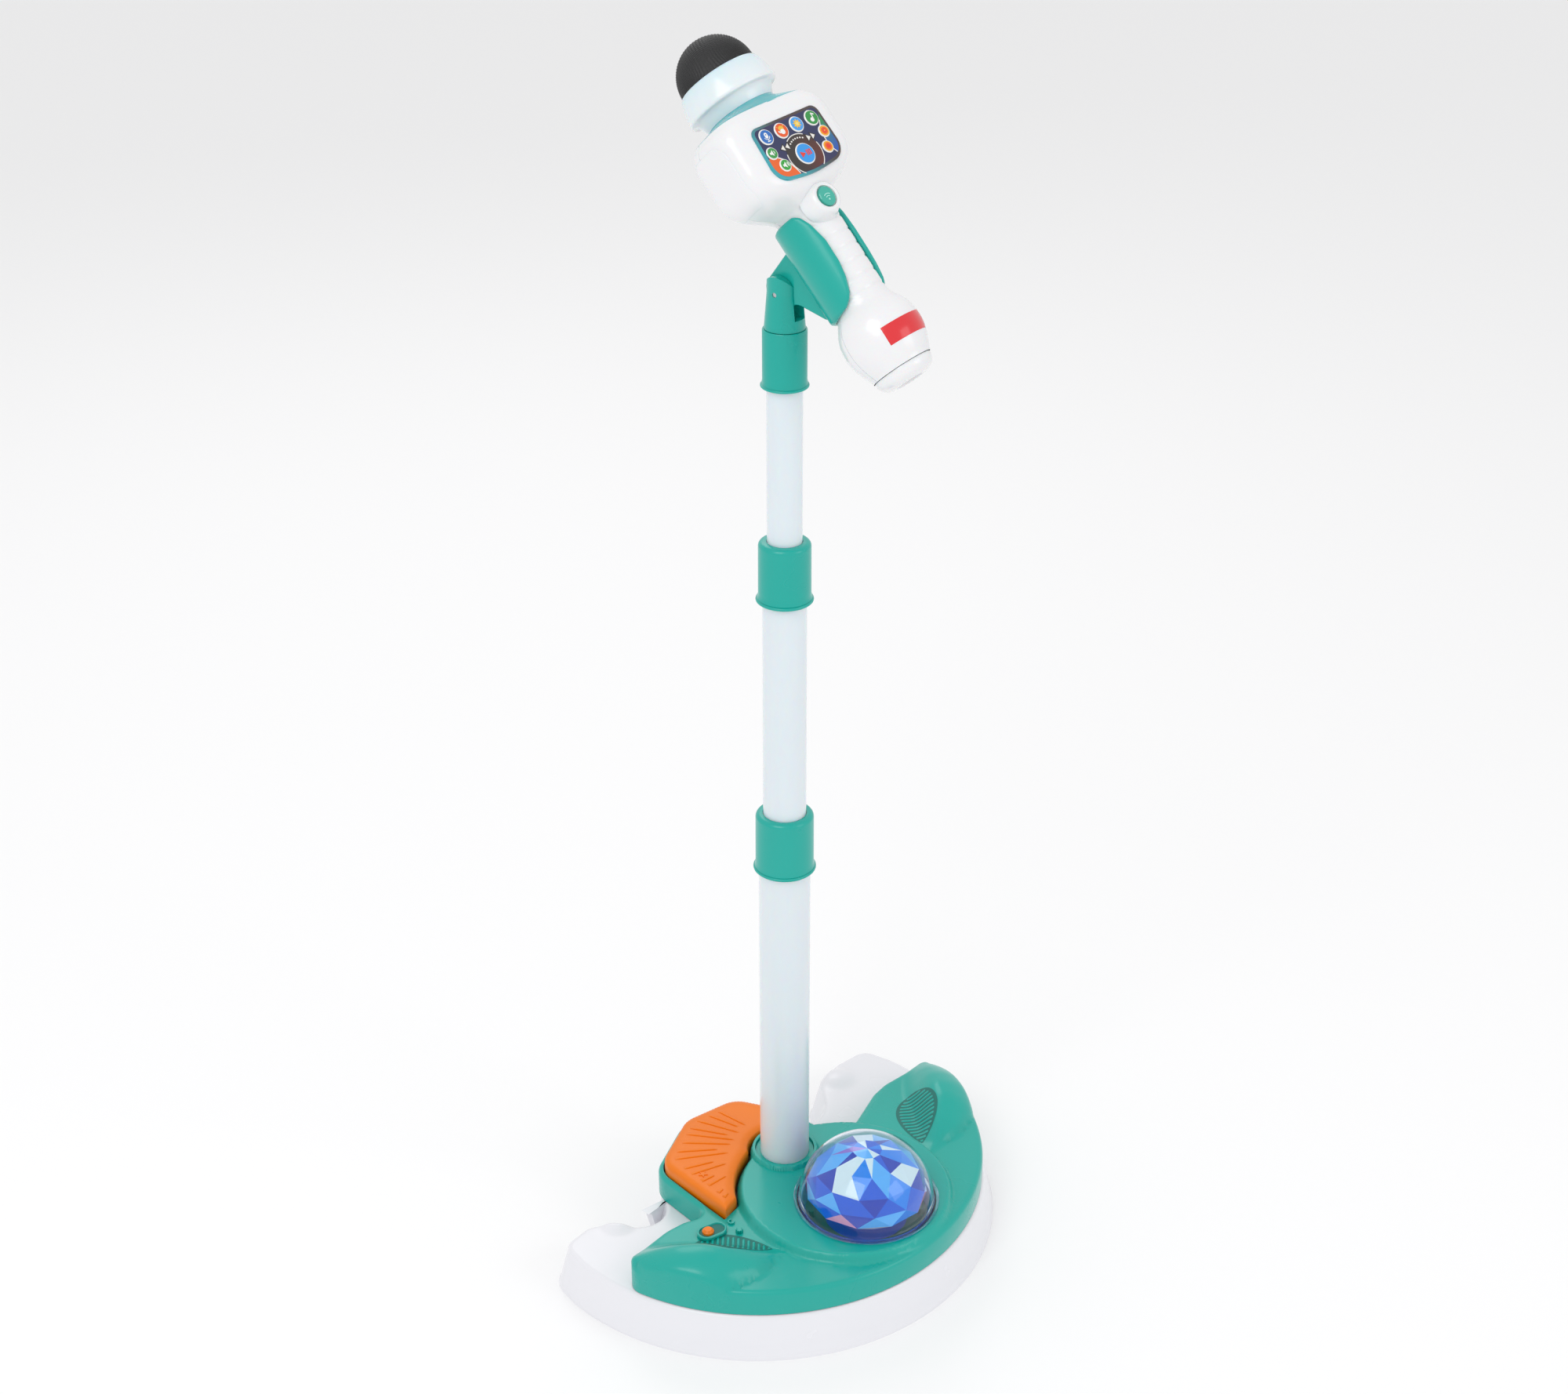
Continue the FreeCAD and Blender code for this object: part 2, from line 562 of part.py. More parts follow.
rings = [crystal_ring(share, rise) for share, rise in layers]
crystal = Part.makeLoft(rings, True, True)
keep(formed("crystal_shape", crystal), "crystal_rotor", dome_place)
gear_low = tub_floor - d.gear_thick - 0.6
turned("rotor_gear", [
    (0, gear_low), (d.gear_radius, gear_low), (d.gear_radius, gear_low + d.gear_thick),
    (d.rotor_axle, gear_low + d.gear_thick), (d.rotor_axle, d.rotor_base), (0, d.rotor_base),
], dome_place)
motor_at = Vector(float(d.dome_x), float(d.dome_y) - float(d.gear_radius + d.pinion_radius) - 0.4, 0)
motor_place = Placement(motor_at, Rotation())
turned("motor_pinion", [
    (d.motor_shaft, gear_low - 0.5), (d.pinion_radius, gear_low - 0.5),
    (d.pinion_radius, gear_low + d.gear_thick), (0, gear_low + d.gear_thick),
    (0, gear_low - 3), (d.motor_shaft, gear_low - 3),
], motor_place)
motor_top = gear_low - 1
turned("projector_motor", [
    (d.motor_shaft + 0.08, motor_top - 2.2), (d.motor_shaft + 0.08, motor_top), (d.motor_radius, motor_top),
    (d.motor_radius, motor_top - d.motor_high), (0, motor_top - d.motor_high), (0, motor_top - 2.2),
], motor_place)

# LED board: a ring of board on the tub's floor that carries six lamps round the rotor.
d.add(led_inset=8, led_size=2.5, led_board_thick=1.2)
d.led_radius = d.dome_radius - d.led_inset
led_floor = tub_floor + d.tub_wall
board = cut("led_board_ring", rod("led_board_disc", d.dome_x, d.dome_y, led_floor,
            d.dome_radius - d.tub_wall - 1, d.led_board_thick),
            [rod("led_board_hole", d.dome_x, d.dome_y, led_floor - 1, as_length(28), as_length(6))])
lamps = []
for i in range(6):
    turn = math.radians(60 * i + 15)
    lamps.append(rod(f"lamp_{i}", d.dome_x + d.led_radius * math.cos(turn),
                     d.dome_y + d.led_radius * math.sin(turn), led_floor + d.led_board_thick,
                     d.led_size, as_length(6)))
keep(joined("led_board_whole", [board] + lamps), "projector_led_board")

# ---------------------------------------------------------------- base: board, speakers, switches

d.add(board_x=52, board_y=-32, board_long=58, board_wide=44, board_thick=1.6, board_height=12,
      speaker_radius=19, speaker_height=16, speaker_x=106, speaker_y=-32, speaker_drop=1.5)
d.speaker_base = d.deck_floor - d.speaker_drop
panel = block("board_panel", d.board_x, d.board_y, d.board_height, d.board_long, d.board_wide, d.board_thick)
chip_z = d.board_height + d.board_thick
chips = [
    block("chip_main", d.board_x, d.board_y, chip_z, as_length(12), as_length(12), as_length(1.6)),
    block("chip_amplifier", d.board_x - 18, d.board_y + 12, chip_z, as_length(8), as_length(6),
          as_length(1.6)),
    block("plug_block", d.board_x + 20, d.board_y - 14, chip_z, as_length(12), as_length(6), as_length(7)),
    rod("capacitor_1", d.board_x - 20, d.board_y - 12, chip_z, as_length(4), as_length(9)),
    rod("capacitor_2", d.board_x - 10, d.board_y - 14, chip_z, as_length(3), as_length(7)),
]
legs = [rod(f"board_leg_{i}", d.board_x + x, d.board_y + y, d.cover_base + d.cover_thickness, as_length(2.5),
            d.board_height - d.cover_base - d.cover_thickness)
        for i, (x, y) in enumerate([(-24, -18), (24, -18), (-24, 18), (24, 18)])]
keep(joined("board_whole", [panel] + chips + legs), "base_circuit_board")
for side, name in ((-1, "left"), (1, "right")):
    speaker_place = Placement(Vector(side * float(d.speaker_x), float(d.speaker_y), 0), Rotation())
    low = d.speaker_base
    turned(f"speaker_{name}", [
        (0, low - d.speaker_height + 2), (10, low - d.speaker_height + 2), (10, low - 6),
        (d.speaker_radius - 3, low - 2), (d.speaker_radius, low - 2), (d.speaker_radius, low),
        (d.speaker_radius - 3, low), (6, low - 5), (0, low - 3.5),
    ], speaker_place)

# Power switch: body under the deck with the orange knob standing up through the slot.
body_top = d.deck_top - d.deck_wall - 0.4
switch_body = slot_prism(as_length(3), body_top - 9, body_top)
switch_body = switch_body.cut(slot_prism(as_length(0.2), body_top - 5, body_top + 1))
keep(formed("switch_body_shape", switch_body), "power_switch_body")
knob_x = -d.knob_travel / 2
turned("power_switch_knob", [
    (0, body_top - 4.5), (d.knob_radius - 0.6, body_top - 4.5), (d.knob_radius - 0.6, d.deck_top + 1),
    (d.knob_radius, d.deck_top + 1.5), (d.knob_radius, d.deck_top + d.knob_high - 1.5),
    (d.knob_radius - 1.5, d.deck_top + d.knob_high), (0, d.deck_top + d.knob_high),
], switch_place.multiply(Placement(Vector(float(knob_x), 0, 0), Rotation())))

# Screws that hold the bottom cover, heads flush with it.
screws = []
for i, (x, y) in enumerate(screw_places):
    head = rod(f"screw_head_{i}", x, y, d.cover_base - d.screw_head_high, d.screw_head_radius,
               d.screw_head_high)
    shank = rod(f"screw_shank_{i}", x, y, d.cover_base - 0.5, d.screw_radius, d.screw_length)
    screws.append(joined(f"screw_{i}", [head, shank]))
keep(group("cover_screws", screws), "base_screws")

# ---------------------------------------------------------------- foot pedal

d.add(pedal_rise=9, pedal_drop=4, contact_gap=2.2, pedal_wall=2.6, pedal_bevel=3, pedal_clear=1.6,
      spring_radius=5, spring_wire=1.2, spring_x=-30, spring_y=36, pedal_switch_y=28)
d.pedal_top, d.pedal_floor = d.deck_top + d.pedal_rise, d.deck_top - d.pedal_drop


def pedal_shell(shrink, low, high):
    return pedal_block(shrink, low, high, d.pedal_clear + shrink)


pedal = pedal_shell(d.pedal_clear, d.pedal_floor, d.pedal_top - d.pedal_bevel)
for step, share in ((0, 0.0), (1, 0.45)):
    low = d.pedal_top - d.pedal_bevel * (1 - 0.5 * step)
    pedal = pedal.fuse(pedal_shell(d.pedal_clear + d.pedal_bevel * (0.35 + share), low - 0.5 * step,
                                   low + d.pedal_bevel * 0.5))
hollow = pedal_shell(d.pedal_clear + d.pedal_wall, d.pedal_floor - 1, d.pedal_top - d.pedal_bevel - 1)
pedal = pedal.cut(hollow)
lug_inset = float(d.hinge_pin_length) / 2 - float(d.hinge_post) - 1
for side in (-1, 1):
    lug_low = float(d.hinge_height) - 4
    lug = Part.makeBox(6, 8, float(d.pedal_top - d.pedal_bevel) - lug_low,
                       Vector(side * lug_inset - 3 - side * 3, -4, lug_low))
    bore = Part.makeCylinder(float(d.hinge_pin_radius + d.hinge_gap), 100,
                             Vector(-50, 0, float(d.hinge_height)), Vector(1, 0, 0))
    lug = lug.cut(bore)
    lug.Placement = hinge_place
    pedal = pedal.fuse(lug)
keep(formed("pedal_shape", pedal.removeSplitter()), "foot_pedal")

# Two return springs and the contact switch that the pedal presses.
spring_low = d.tray_height
spring_high = d.pedal_top - d.pedal_bevel - 1.2
springs = []
for i, x in enumerate((d.spring_x - 14, d.spring_x + 18)):
    springs.append(cut(f"spring_{i}", rod(f"spring_out_{i}", x, d.spring_y, spring_low, d.spring_radius,
                                          spring_high - spring_low),
                       [rod(f"spring_in_{i}", x, d.spring_y, spring_low - 1, d.spring_radius - d.spring_wire,
                            spring_high - spring_low + 2)]))
keep(group("spring_pair", springs), "pedal_springs")
contact = joined("contact_whole", [
    block("contact_block", d.spring_x + 2, d.pedal_switch_y, d.tray_height, as_length(12), as_length(12),
          as_length(6)),
    rod("contact_dome", d.spring_x + 2, d.pedal_switch_y, d.tray_height + 6, as_length(3.5),
        d.pedal_top - d.pedal_bevel - 1 - d.contact_gap - d.tray_height - 6),
])
keep(contact, "pedal_switch")

# ---------------------------------------------------------------- fork and tilt pin

d.add(swivel=7, tilt=41.5, twist=10, pin_rise=22.5, pin_radius=1.5, pin_gap=0.08, fork_radius=10.6,
      fork_foot=12.4, slot_rise=7, tongue=9, tongue_gap=0.4)
d.pin_height, d.slot_floor = d.socket_top + d.pin_rise, d.socket_top + d.slot_rise
fork_place = Placement(Vector(0, 0, 0), Rotation(Vector(0, 0, 1), float(d.swivel)))
fork_low = d.socket_top + d.fork_seat_gap
stem = Part.makeCone(float(d.fork_foot), float(d.fork_radius), float(d.pin_height - fork_low),
                     Vector(0, 0, float(fork_low)))
ears = Part.makeCylinder(float(d.fork_radius), 30, Vector(0, 0, float(d.pin_height)))
across = Part.makeCylinder(float(d.fork_radius), 60, Vector(-30, 0, float(d.pin_height)), Vector(1, 0, 0))
fork = stem.fuse(ears.common(across))
slot_half = d.tongue / 2 + d.tongue_gap
fork = fork.cut(Part.makeBox(float(slot_half * 2), 40, 40,
                             Vector(-float(slot_half), -20, float(d.slot_floor))))
spigot_hole = Part.makeCylinder(float(d.spigot_radius + 0.08), float(d.spigot_height + 0.4),
                                Vector(0, 0, float(d.socket_top)))
fork = fork.cut(spigot_hole)
pin_axis = Vector(1, 0, 0)
fork = fork.cut(Part.makeCylinder(float(d.pin_radius), 60, Vector(-30, 0, float(d.pin_height)), pin_axis))
keep(formed("fork_shape", fork.removeSplitter()), "fork", fork_place)
pin_half = float(d.fork_radius) - 0.6
pin = Part.makeCylinder(float(d.pin_radius), 2 * pin_half, Vector(-pin_half, 0, float(d.pin_height)),
                        pin_axis)
keep(formed("pin_shape", pin), "tilt_pin", fork_place)

# ---------------------------------------------------------------- microphone clip

d.add(standoff=42.2, handle_radius=17, clip_gap=0.3, clip_wall=3, clip_low=-36, clip_high=26,
      arm_reach=11.5, arm_curve=74, arm_middle=-3, boss_radius=8.5)
tilted = fork_place.multiply(Placement(Vector(0, 0, float(d.pin_height)),
                                       Rotation(Vector(1, 0, 0), -float(d.tilt))))
axis_place = tilted.multiply(Placement(Vector(0, -float(d.standoff), 0), Rotation()))
mic_place = axis_place.multiply(Placement(Vector(0, 0, 0), Rotation(Vector(0, 0, 1), -float(d.twist))))

clip_outside = d.handle_radius + d.clip_gap + d.clip_wall
sleeve = Part.makeCylinder(float(clip_outside), float(d.clip_high - d.clip_low),
                           Vector(0, 0, float(d.clip_low)))
# The arms' front edges follow a large arc seen from the side.
edge_centre = Vector(-50, float(d.arm_curve - d.arm_reach), float(d.arm_middle))
sleeve = sleeve.common(Part.makeCylinder(float(d.arm_curve), 100, edge_centre, Vector(1, 0, 0)))
web_outline = [(d.standoff - 6, 13), (clip_outside - 4, 13), (clip_outside - 4, -31),
               (clip_outside + 3, -27), (d.standoff - 4, -8)]
web_points = [Vector(-float(d.tongue) / 2, float(y), float(z)) for y, z in web_outline]
web = Part.Face(Part.makePolygon(web_points + web_points[:1])).extrude(Vector(float(d.tongue), 0, 0))
boss = Part.makeCylinder(float(d.boss_radius), float(d.tongue),
                         Vector(-float(d.tongue) / 2, float(d.standoff), 0), pin_axis)
clip = sleeve.fuse([web, boss])
clip = clip.cut(Part.makeCylinder(float(d.handle_radius + d.clip_gap), 200, Vector(0, 0, -100)))
clip = clip.cut(Part.makeCylinder(float(d.pin_radius + d.pin_gap), 100,
                                  Vector(-50, float(d.standoff), 0), pin_axis))
keep(formed("clip_shape", clip.removeSplitter()), "mic_clip", axis_place)

# ---------------------------------------------------------------- microphone shells

d.add(shell_wall=2, seam_depth=4, bulb_radius=25, bulb_height=-57, cap_seam=-77, cap_radius=18.6,
      head_low=28, head_high=88, head_half=42, head_front=27, head_rear=19, head_round=16,
      neck_radius=21.5, panel_half=28, panel_low=40.5, panel_high=76, panel_thick=1.4, panel_ledge=0.9)

handle_profile = [
    (0, d.cap_seam), (d.cap_radius, d.cap_seam), (d.bulb_radius - 2.2, d.bulb_height - 11),
    (d.bulb_radius, d.bulb_height), (d.bulb_radius - 1.4, d.bulb_height + 10),
    (d.handle_radius + 2.2, d.clip_low - 3), (d.handle_radius, d.clip_low),
    (d.handle_radius, d.clip_high + 1),
    (d.handle_radius + 1.5, d.head_low + 6), (0, d.head_low + 6),
]


def turned_solid(profile, shrink):
    """Plain solid of revolution from a profile that starts and ends on the axis."""
    corners = [Vector(max(float(r) - shrink, 0.0), 0, float(z)) for r, z in profile]
    corners[0].z += shrink
    corners[1].z += shrink
    face = Part.Face(Part.makePolygon(corners + corners[:1]))
    return face.revolve(Vector(0, 0, 0), Vector(0, 0, 1), 360)


def head_section(height, half, front, rear, rounding):
    """Rounded rectangle round the microphone's axis; the keypad side is -Y."""
    corners = [(-half, -front, rounding), (half, -front, rounding), (half, rear, rounding),
               (-half, rear, rounding)]
    return rounded_outline(corners, height)


def head_solid(shrink):
    """Head: rounded-square sections that swell from the handle and close in again at the top."""
    half, front, rear = (float(x) - shrink for x in (d.head_half, d.head_front, d.head_rear))
    round_full = float(d.head_round) - shrink
    tall = float(d.head_high - d.head_low)
    slim = float(d.handle_radius) - shrink
    steps = [(0.0, slim, slim, slim, slim * 0.98), (0.10, half * 0.68, slim + 2.5, slim, slim * 0.9),
             (0.24, half * 0.93, front * 0.93, rear * 0.98, round_full),
             (0.42, half, front, rear, round_full),
             (0.80, half, front, rear, round_full), (0.93, half * 0.95, front * 0.97, rear, round_full),
             (1.0, half * 0.84, front * 0.9, rear, round_full)]
    sections = [head_section(float(d.head_low) + tall * share, *rest) for share, *rest in steps]
    return Part.makeLoft(sections, True, True)


d.add(mode_height=25.5, mode_reach=24.5, mode_wide=5.3, mode_long=6.1, mode_boss=9, key_rise=0.8,
      key_travel=1, key_gap=0.25, big_key=4.9, small_key=3.9, play_key=6.6, key_flange=0.6)
outward = Vector(0, -1, 0)


def mode_post(radius, low, high):
    """Round post that stands out of the neck below the keypad; low and high are distances outward."""
    at = Vector(0, -float(low), float(d.mode_height))
    return Part.makeCylinder(float(radius), float(high - low), at, outward)


handle = turned_solid(handle_profile, 0.0)
handle_inside = turned_solid(handle_profile, float(d.shell_wall))
outside = handle.fuse([head_solid(0.0), mode_post(d.mode_boss, 0, d.mode_reach - 0.6)])
inside = handle_inside.fuse([head_solid(float(d.shell_wall)),
                             mode_post(d.mode_boss - d.shell_wall, 0, d.mode_reach - 2.4)])
neck_room = Part.makeCylinder(float(d.neck_radius - d.shell_wall), 20, Vector(0, 0, float(d.head_high) - 10))
shell = outside.cut(inside.fuse(neck_room))
panel_corners = [
    (-d.panel_half, d.panel_low, 12), (d.panel_half, d.panel_low, 12),
    (d.panel_half - 1.5, d.panel_high, 5), (1.5 - d.panel_half, d.panel_high, 5),
]


def panel_prism(shrink, low, high):
    """Prism on the keypad's outline, between two distances outward from the microphone's axis."""
    wire = grown(rounded_outline(panel_corners, 0), -shrink)
    solid = prism(wire, high - low)
    solid.Placement = Placement(Vector(0, -float(low), 0), Rotation(Vector(1, 0, 0), 90))
    return solid


panel_face = d.head_front + 0.2
panel_back = panel_face - d.panel_thick
shell = shell.cut(panel_prism(0, panel_back, panel_face + 5))
shell = shell.cut(panel_prism(d.panel_ledge, panel_back - 6, panel_face))
shell = shell.cut(mode_post(d.mode_wide + 1.1, d.handle_radius - 8, d.mode_reach + 4))
front_half = Part.makeBox(200, 100, 300, Vector(-100, float(d.seam_depth) - 100, -150))

# Side covers: separate leaves let into the two cheeks of the head.
d.add(cheek_depth=1.4, cheek_inset=8, cheek_low=37, cheek_high=80, cheek_rear=16, cheek_front=17)
d.cheek_x = d.head_half - d.cheek_inset
cheeks = {}
for side, name in ((-1, "left"), (1, "right")):
    leaf = rounded_outline([(-d.cheek_front, d.cheek_low, 9), (d.cheek_rear, d.cheek_low, 9),
                            (d.cheek_rear, d.cheek_high, 9), (-d.cheek_front, d.cheek_high, 9)], 0)
    leaf = prism(leaf, 30)
    leaf.Placement = Placement(Vector(side * float(d.cheek_x) - (0 if side > 0 else 30), 0, 0),
                               Rotation(Vector(1, 1, 1), 120))
    skin = outside.cut(head_solid(float(d.cheek_depth))).cut(handle)
    cheeks[name] = skin.common(leaf)
    shell = shell.cut(cheeks[name])
shell_front = shell.common(front_half).removeSplitter()
shell_rear = shell.cut(front_half).removeSplitter()
keep(formed("front_shape", shell_front), "mic_front_shell", mic_place)
keep(formed("rear_shape", shell_rear), "mic_rear_shell", mic_place)
for name, cheek in cheeks.items():
    keep(formed(f"cheek_shape_{name}", cheek.removeSplitter()), f"side_cover_{name}", mic_place)

# ---------------------------------------------------------------- keypad and its keys

big_row = 68.8
key_layout = {
    "key_song": (-18.5, big_row, d.big_key), "key_clap": (-6.2, big_row, d.big_key),
    "key_star": (6.2, big_row, d.big_key), "key_note": (18.5, big_row, d.big_key),
    "key_quieter": (-21.3, 59, d.small_key), "key_louder": (-17.5, 50, d.small_key),
    "key_drum": (21.3, 59, d.small_key), "key_horn": (17.5, 50, d.small_key),
    "key_play": (0, 51.5, d.play_key),
}
plate = panel_prism(0.15, panel_back, panel_face)
key_foot = panel_back - 3.6
for name, (x, z, radius) in key_layout.items():
    at = Vector(float(x), 0, float(z))
    plate = plate.cut(Part.makeCylinder(float(radius + d.key_gap), 60, at, outward))
    place = mic_place.multiply(Placement(at, Rotation(Vector(1, 0, 0), 90)))
    turned(name, [
        (0, key_foot), (radius - 1.2, key_foot), (radius - 1.2, panel_back - 1.6),
        (radius + d.key_flange, panel_back - 1.6), (radius + d.key_flange, panel_back - 0.4),
        (radius, panel_back - 0.4), (radius, panel_face + d.key_rise - 0.4),
        (radius - 0.5, panel_face + d.key_rise), (0, panel_face + d.key_rise),
    ], place)
keep(formed("plate_shape", plate), "control_panel", mic_place)
mat_top = key_foot - d.key_travel - 0.2
keep(formed("mat_shape", panel_prism(2.2, mat_top - 1.2, mat_top)), "key_mat", mic_place)
board_top = mat_top - 1.25
keep(formed("mic_board_shape", panel_prism(3, board_top - 1.6, board_top)), "mic_circuit_board", mic_place)

oval = Part.Ellipse(Vector(0, 0, 0), float(d.mode_long), float(d.mode_wide)).toShape()
mode_cap = prism(Part.Wire([oval]), 5.2)
mode_stem = Part.makeCylinder(2, 4, Vector(0, 0, -4))
mode_turn = Rotation(Vector(1, 0, 0), 90).multiply(Rotation(Vector(0, 0, 1), 90))
mode_at = Placement(Vector(0, -float(d.mode_reach) + 4.4, float(d.mode_height)), mode_turn)
keep(formed("mode_shape", mode_cap.fuse(mode_stem)), "mode_button", mic_place.multiply(mode_at))

# ---------------------------------------------------------------- top of the microphone

d.add(ball_radius=24, ball_wall=2.6, ball_height=119.1, collar_low=102, collar_rim=118, collar_foot=28.5,
      collar_mouth=24.6, neck_low=94, neck_step=24.9, ring_low=86.5)
turned("light_ring", [
    (d.neck_radius - 4, d.ring_low + 1.5), (d.head_half - 13, d.ring_low + 1.5),
    (d.neck_radius + 2, d.neck_low - 1.5), (d.neck_radius, d.neck_low), (d.neck_radius - 4, d.neck_low),
], mic_place)
turned("collar_ring", [
    (d.neck_radius - 3, d.neck_low), (d.neck_radius, d.neck_low), (d.neck_step, d.collar_low - 0.6),
    (d.collar_foot, d.collar_low), (d.collar_foot, d.collar_low + 2.5),
    (d.collar_foot - 1.6, d.collar_rim - 6), (d.collar_mouth, d.collar_rim),
    (d.collar_mouth - 2, d.collar_rim), (d.collar_mouth - 2, d.collar_low + 3),
    (d.neck_radius - 3, d.collar_low + 3),
], mic_place)
above_rim = Part.makeBox(100, 100, 60, Vector(-50, -50, float(d.collar_rim)))
globe_centre = Vector(0, 0, float(d.ball_height))
globe = Part.makeSphere(float(d.ball_radius), globe_centre).common(above_rim)
globe = globe.cut(Part.makeSphere(float(d.ball_radius - d.ball_wall), globe_centre))
throat_low = Vector(0, 0, float(d.collar_low) + 3.4)
throat_high = float(d.collar_rim - d.collar_low) - 3
throat = Part.makeCylinder(float(d.collar_mouth) - 2.1, throat_high, throat_low)
throat = throat.cut(Part.makeCylinder(float(d.collar_mouth) - 4.4, throat_high, throat_low))
globe = globe.fuse(throat)
keep(formed("globe_shape", globe.removeSplitter()), "windscreen", mic_place)

turned("mic_capsule", [
    (0, d.collar_low + 3.2), (17, d.collar_low + 3.2), (17, d.collar_low + 5), (5, d.collar_low + 6),
    (5, d.ball_height - 3), (0, d.ball_height - 3),
], mic_place)
leds = []
for i in range(8):
    turn = 2 * math.pi * (i + 0.5) / 8
    at = Vector(13.5 * math.cos(turn), 13.5 * math.sin(turn), float(d.ring_low + 2))
    leds.append(formed(f"mic_lamp_{i}", Part.makeCylinder(2, 5.5, at)))
led_plate = formed("mic_lamp_plate", Part.makeCylinder(16, 1.4, Vector(0, 0, float(d.ring_low + 0.6))))
keep(joined("mic_lamps_whole", [led_plate] + leds), "mic_led_board", mic_place)

# Bottom cap with its lanyard slot, the battery in the handle and the screws of the rear shell.
cap_low = d.cap_seam - 9
turned("end_cap", [
    (0, d.cap_seam), (d.cap_radius - 0.2, d.cap_seam), (d.cap_radius - 0.8, d.cap_seam - 4),
    (d.cap_radius - 4.6, d.cap_seam - 7.8), (8, cap_low), (8, cap_low + 1.4), (0, cap_low + 1.4),
], mic_place)
turned("mic_battery", [
    (0, -44), (d.cell_radius, -44), (d.cell_radius, -44 + d.cell_length), (2.7, -44 + d.cell_length),
    (2.7, -42.8 + d.cell_length), (0, -42.8 + d.cell_length),
], mic_place)
mic_screws = []
for i, (x, z) in enumerate([(-9, -50), (9, -50), (-26, 46), (26, 46)]):
    deep = float(d.seam_depth) + 9 if z > 0 else float(d.seam_depth) + 14
    head = Part.makeCylinder(2.6, 1.8, Vector(x, deep - 1.8, z), Vector(0, 1, 0))
    shank = Part.makeCylinder(1.3, 9, Vector(x, deep - 10.6, z), Vector(0, 1, 0))
    mic_screws.append(formed(f"mic_screw_{i}", head.fuse(shank)))
keep(group("mic_screw_set", mic_screws), "mic_screws", mic_place)

# ---------------------------------------------------------------- check and write every piece

doc.recompute()
failed = [o.Name for o in doc.Objects if "Invalid" in o.State or "Error" in o.State]
if failed:
    raise SystemExit(f"failed objects: {failed}")
os.makedirs("parts", exist_ok=True)
for label, thing in sorted(PARTS.items()):
    shape = thing.Shape
    if shape.isNull() or not shape.isValid() or not shape.Solids:
        raise SystemExit(f"{label} has no valid solid")
    shape.exportStep(f"parts/{label}.step")
print(f"{len(PARTS)} pieces written")
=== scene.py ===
"""Looks of the toy stage microphone: a winged light-up base with a foot pedal, a two-stage telescopic
pole, and a microphone held in a tilting clip. Working sizes are in millimetres in the frame of the
parts, and become metres where each mesh is made.
"""
import json
import math

import bmesh
import bpy
import numpy as np
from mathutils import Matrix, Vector
from mathutils.geometry import delaunay_2d_cdt


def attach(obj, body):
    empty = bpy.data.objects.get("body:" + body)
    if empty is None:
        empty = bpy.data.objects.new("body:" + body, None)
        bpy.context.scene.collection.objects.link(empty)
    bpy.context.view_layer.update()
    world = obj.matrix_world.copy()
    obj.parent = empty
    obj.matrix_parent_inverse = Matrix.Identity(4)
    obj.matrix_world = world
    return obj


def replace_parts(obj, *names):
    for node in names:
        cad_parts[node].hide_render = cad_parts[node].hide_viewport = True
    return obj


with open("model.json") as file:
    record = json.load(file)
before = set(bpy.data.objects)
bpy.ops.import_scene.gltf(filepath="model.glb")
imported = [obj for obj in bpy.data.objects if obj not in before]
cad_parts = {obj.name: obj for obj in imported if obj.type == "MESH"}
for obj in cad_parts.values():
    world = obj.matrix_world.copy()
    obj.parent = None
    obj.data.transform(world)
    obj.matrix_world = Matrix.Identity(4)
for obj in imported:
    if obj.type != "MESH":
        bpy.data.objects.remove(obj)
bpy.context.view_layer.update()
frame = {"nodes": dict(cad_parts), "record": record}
nodes = frame["nodes"]
slots = {entry["node"]: entry["material_slot"] for entry in frame["record"]["subparts"]}

# ---------------------------------------------------------------- camera and studio
# The camera looks down a little at the whole stand from its front left side.
lens = bpy.data.cameras.new("camera")
lens.lens = 55.8
lens.sensor_width = 36
camera = bpy.data.objects.new("camera", lens)
camera.location = (-0.9986, -0.9306, 1.1207)
camera.rotation_euler = (math.radians(62.6), 0, math.radians(-47))
bpy.context.scene.collection.objects.link(camera)
bpy.context.scene.camera = camera
bpy.context.scene.view_settings.view_transform = "Standard"

# Studio: a plain pale floor under a pale sky, with two large soft lights.
floor_mesh = bpy.data.meshes.new("studio_floor")
floor_mesh.from_pydata([(-30, -30, 0), (30, -30, 0), (30, 30, 0), (-30, 30, 0)], [], [(0, 1, 2, 3)])
studio_floor = bpy.data.objects.new("studio_floor", floor_mesh)
bpy.context.scene.collection.objects.link(studio_floor)
floor_paint = bpy.data.materials.new("floor_paint")
floor_paint.use_nodes = True
floor_paint.node_tree.nodes["Principled BSDF"].inputs["Base Color"].default_value = (0.96, 0.96, 0.965, 1)
floor_paint.node_tree.nodes["Principled BSDF"].inputs["Roughness"].default_value = 0.9
floor_mesh.materials.append(floor_paint)

